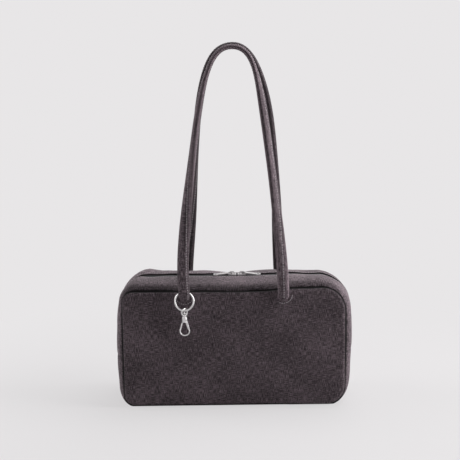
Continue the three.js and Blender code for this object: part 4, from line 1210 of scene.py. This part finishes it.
def add_foot_stitches():
    """A U of stitches through the panel and its patch, round each foot."""
    reach = HANDLE_WIDTH / 2 + FOOT_STITCH_REACH
    middle = FOOT_LOW + HANDLE_WIDTH / 2
    rises = spaced(middle, SEAM_TOP - FOOT_STITCH_END, FOOT_RISE_STEP)
    angles = np.linspace(math.pi, 2 * math.pi, FOOT_ARC_STEPS)[1:-1]
    across = np.concatenate([0 * rises - reach, reach * np.cos(angles), 0 * rises + reach])
    up = np.concatenate([rises[::-1], middle + reach * np.sin(angles), rises])
    for name, side in SIDES:
        parts = []
        for x, sink in ((LEFT_FOOT, LEFT_FOOT_SINK), (RIGHT_FOOT, RIGHT_FOOT_SINK)):
            height = np.interp(across, (-reach, reach), sink)
            path = points_at(x + across, side * (FACE + height), up)
            off = np.full_like(path, (0.0, side, 0.0))
            parts.append(stitch_line(path, off, FOOT_STITCH, FOOT_STITCH_GAP))
        piece = add_piece(f"{name}_foot_stitches", *joined(parts), THREAD_COTTON)
        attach(dress(piece, "handle_denim"), "bag")


# Key ring, clasp and zip hardware

RING_STEPS = 96
RING_SIDES = 20


def add_key_ring():
    """A round wire ring that tilts forward, so its lower edge hangs clear of the panel."""
    top = np.array([LEFT_FOOT, ring_high[1] - RING_WIRE, RING_TOP])
    low = np.array([LEFT_FOOT, ring_low[1] + RING_WIRE, ring_low[2] + RING_WIRE])
    radius = np.linalg.norm(top - low) / 2
    angles = np.linspace(0, 2 * math.pi, RING_STEPS, endpoint=False)[:, None]
    aside = np.array([radius, 0.0, 0.0])
    path = (top + low) / 2 + (top - low) / 2 * np.cos(angles) + aside * np.sin(angles)
    piece = add_piece("key_ring_wire", *tube(path, RING_WIRE, RING_SIDES, closed=True), SILVER)
    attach(dress(piece, "silver_metal", "key_ring"), "ring")


def soften_edges(piece):
    bevel = piece.modifiers.new("soft_edges", "BEVEL")
    bevel.width = EDGE_ROUNDING * MM
    bevel.segments = 3
    bevel.limit_method = "ANGLE"


def round_off(piece, thickness):
    """Cast metal: a fine even mesh over the form, smoothed until its facets are gone."""
    remesh = piece.modifiers.new("even_mesh", "REMESH")
    remesh.mode = "VOXEL"
    remesh.voxel_size = CAST_GRAIN * MM
    remesh.use_smooth_shade = True
    smooth = piece.modifiers.new("smooth_facets", "SMOOTH")
    smooth.factor = 0.5
    smooth.iterations = 8
    plating = piece.modifiers.new("plating", "DISPLACE")
    plating.mid_level = 0.0
    plating.strength = thickness * MM


def finish_nodes():
    """Solids whose shape is right keep it, with softened forms and a better material."""
    crisp = ("left_slider_body", "left_slider_bail", "right_slider_body", "right_slider_bail",
             "swivel_post", "gate_pin", "gate_spring")
    cast = ("swivel_eye", "hook_body", "hook_gate")
    for name in crisp + cast:
        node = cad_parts[name]
        plate(node.data, DULL_SILVER if "slider" in name else SILVER)
        if name in cast:
            round_off(node, PLATING + (HOOK_EXTRA if name == "hook_body" else 0.0))
        else:
            soften_edges(node)
    plate(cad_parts["base_board"].data, BASE_SHEET)


# Stage


def camera_rays(tree):
    rays = add_node(tree, "ShaderNodeLightPath", {})
    return maths(tree, "MAXIMUM", rays.outputs["Is Camera Ray"], rays.outputs["Is Glossy Ray"])


def add_floor():
    bpy.ops.mesh.primitive_plane_add(size=12)
    floor = bpy.context.object
    floor.name = "floor"
    material, tree, shader = new_material("pale_floor")
    set_inputs(tree, shader, {"Base Color": FLOOR_GREY, "Roughness": 0.9, "Specular IOR Level": 0.0})
    far = add_node(tree, "ShaderNodeVectorMath", {0: object_coordinates(tree)}, operation="LENGTH")
    inputs = {"Value": far.outputs["Value"], **SHADOW_FADE}
    fade = add_node(tree, "ShaderNodeMapRange", inputs, interpolation_type="SMOOTHSTEP")
    factor = maths(tree, "MULTIPLY", camera_rays(tree), fade.outputs[0])
    glow = add_node(tree, "ShaderNodeEmission", {"Color": BACKGROUND, "Strength": 1.0})
    mixed = add_node(tree, "ShaderNodeMixShader", {0: factor, 1: shader.outputs[0], 2: glow.outputs[0]})
    tree.links.new(mixed.outputs[0], tree.nodes["Material Output"].inputs["Surface"])
    floor.data.materials.append(material)
    floor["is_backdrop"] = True


def add_world():
    world = bpy.data.worlds.new("studio")
    bpy.context.scene.world = world
    world.use_nodes = True
    tree = world.node_tree
    ambient = tree.nodes["Background"]
    set_inputs(tree, ambient, {"Color": AMBIENT, "Strength": AMBIENT_STRENGTH})
    backdrop = add_node(tree, "ShaderNodeBackground", {"Color": BACKGROUND, "Strength": 1.0})
    inputs = {0: camera_rays(tree), 1: ambient.outputs[0], 2: backdrop.outputs[0]}
    mixed = add_node(tree, "ShaderNodeMixShader", inputs)
    tree.links.new(mixed.outputs[0], tree.nodes["World Output"].inputs["Surface"])


def add_lamp(name, place, target, size, power):
    lamp = bpy.data.lights.new(name, "AREA")
    lamp.shape = "RECTANGLE"
    lamp.size, lamp.size_y = size
    lamp.energy = power
    holder = new_object(name, lamp)
    holder.location = place
    holder.rotation_euler = (Vector(target) - Vector(place)).to_track_quat("-Z", "Y").to_euler()


def add_lights():
    add_lamp("overhead", (0.6, 0.65, 1.85), (0, 0, 0.1), (2.0, 1.4), 30)
    add_lamp("right_side", (1.7, -0.2, 0.8), (0, 0, 0.16), (1.0, 1.4), 39)
    add_lamp("left_side", (-1.7, 0.25, 0.8), (0, 0, 0.12), (1.0, 1.4), 20)
    add_lamp("front_fill", (0.5, -2.2, 1.1), (0, 0, 0.1), (1.2, 1.0), 0.6)


def add_camera():
    camera = bpy.data.cameras.new("camera")
    camera.sensor_width = SENSOR_WIDTH
    camera.lens = SENSOR_WIDTH * FOCAL_PIXELS / PICTURE_WIDTH
    holder = new_object("camera", camera)
    holder.location = CAMERA_PLACE
    holder.rotation_mode = "ZXY"
    holder.rotation_euler = (math.pi / 2 - CAMERA_PITCH, 0, CAMERA_ROLL)
    bpy.context.scene.camera = holder


bpy.context.scene.view_settings.view_transform = "Standard"
add_panels()
add_bottom_gusset()
add_zip_gusset()
add_zip_stitches()
add_zip_tapes()
add_zip_coils()
add_pulls()
add_linings()
add_bottom_lining()
add_zip_linings()
add_pocket()
add_handles()
add_foot_stitches()
add_key_ring()
finish_nodes()
add_floor()
add_world()
add_lights()
add_camera()

visual_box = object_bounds()
boxes = {"cad": cad_box, "visual": visual_box}
{name: [list(corner) for corner in corners] for name, corners in boxes.items()}
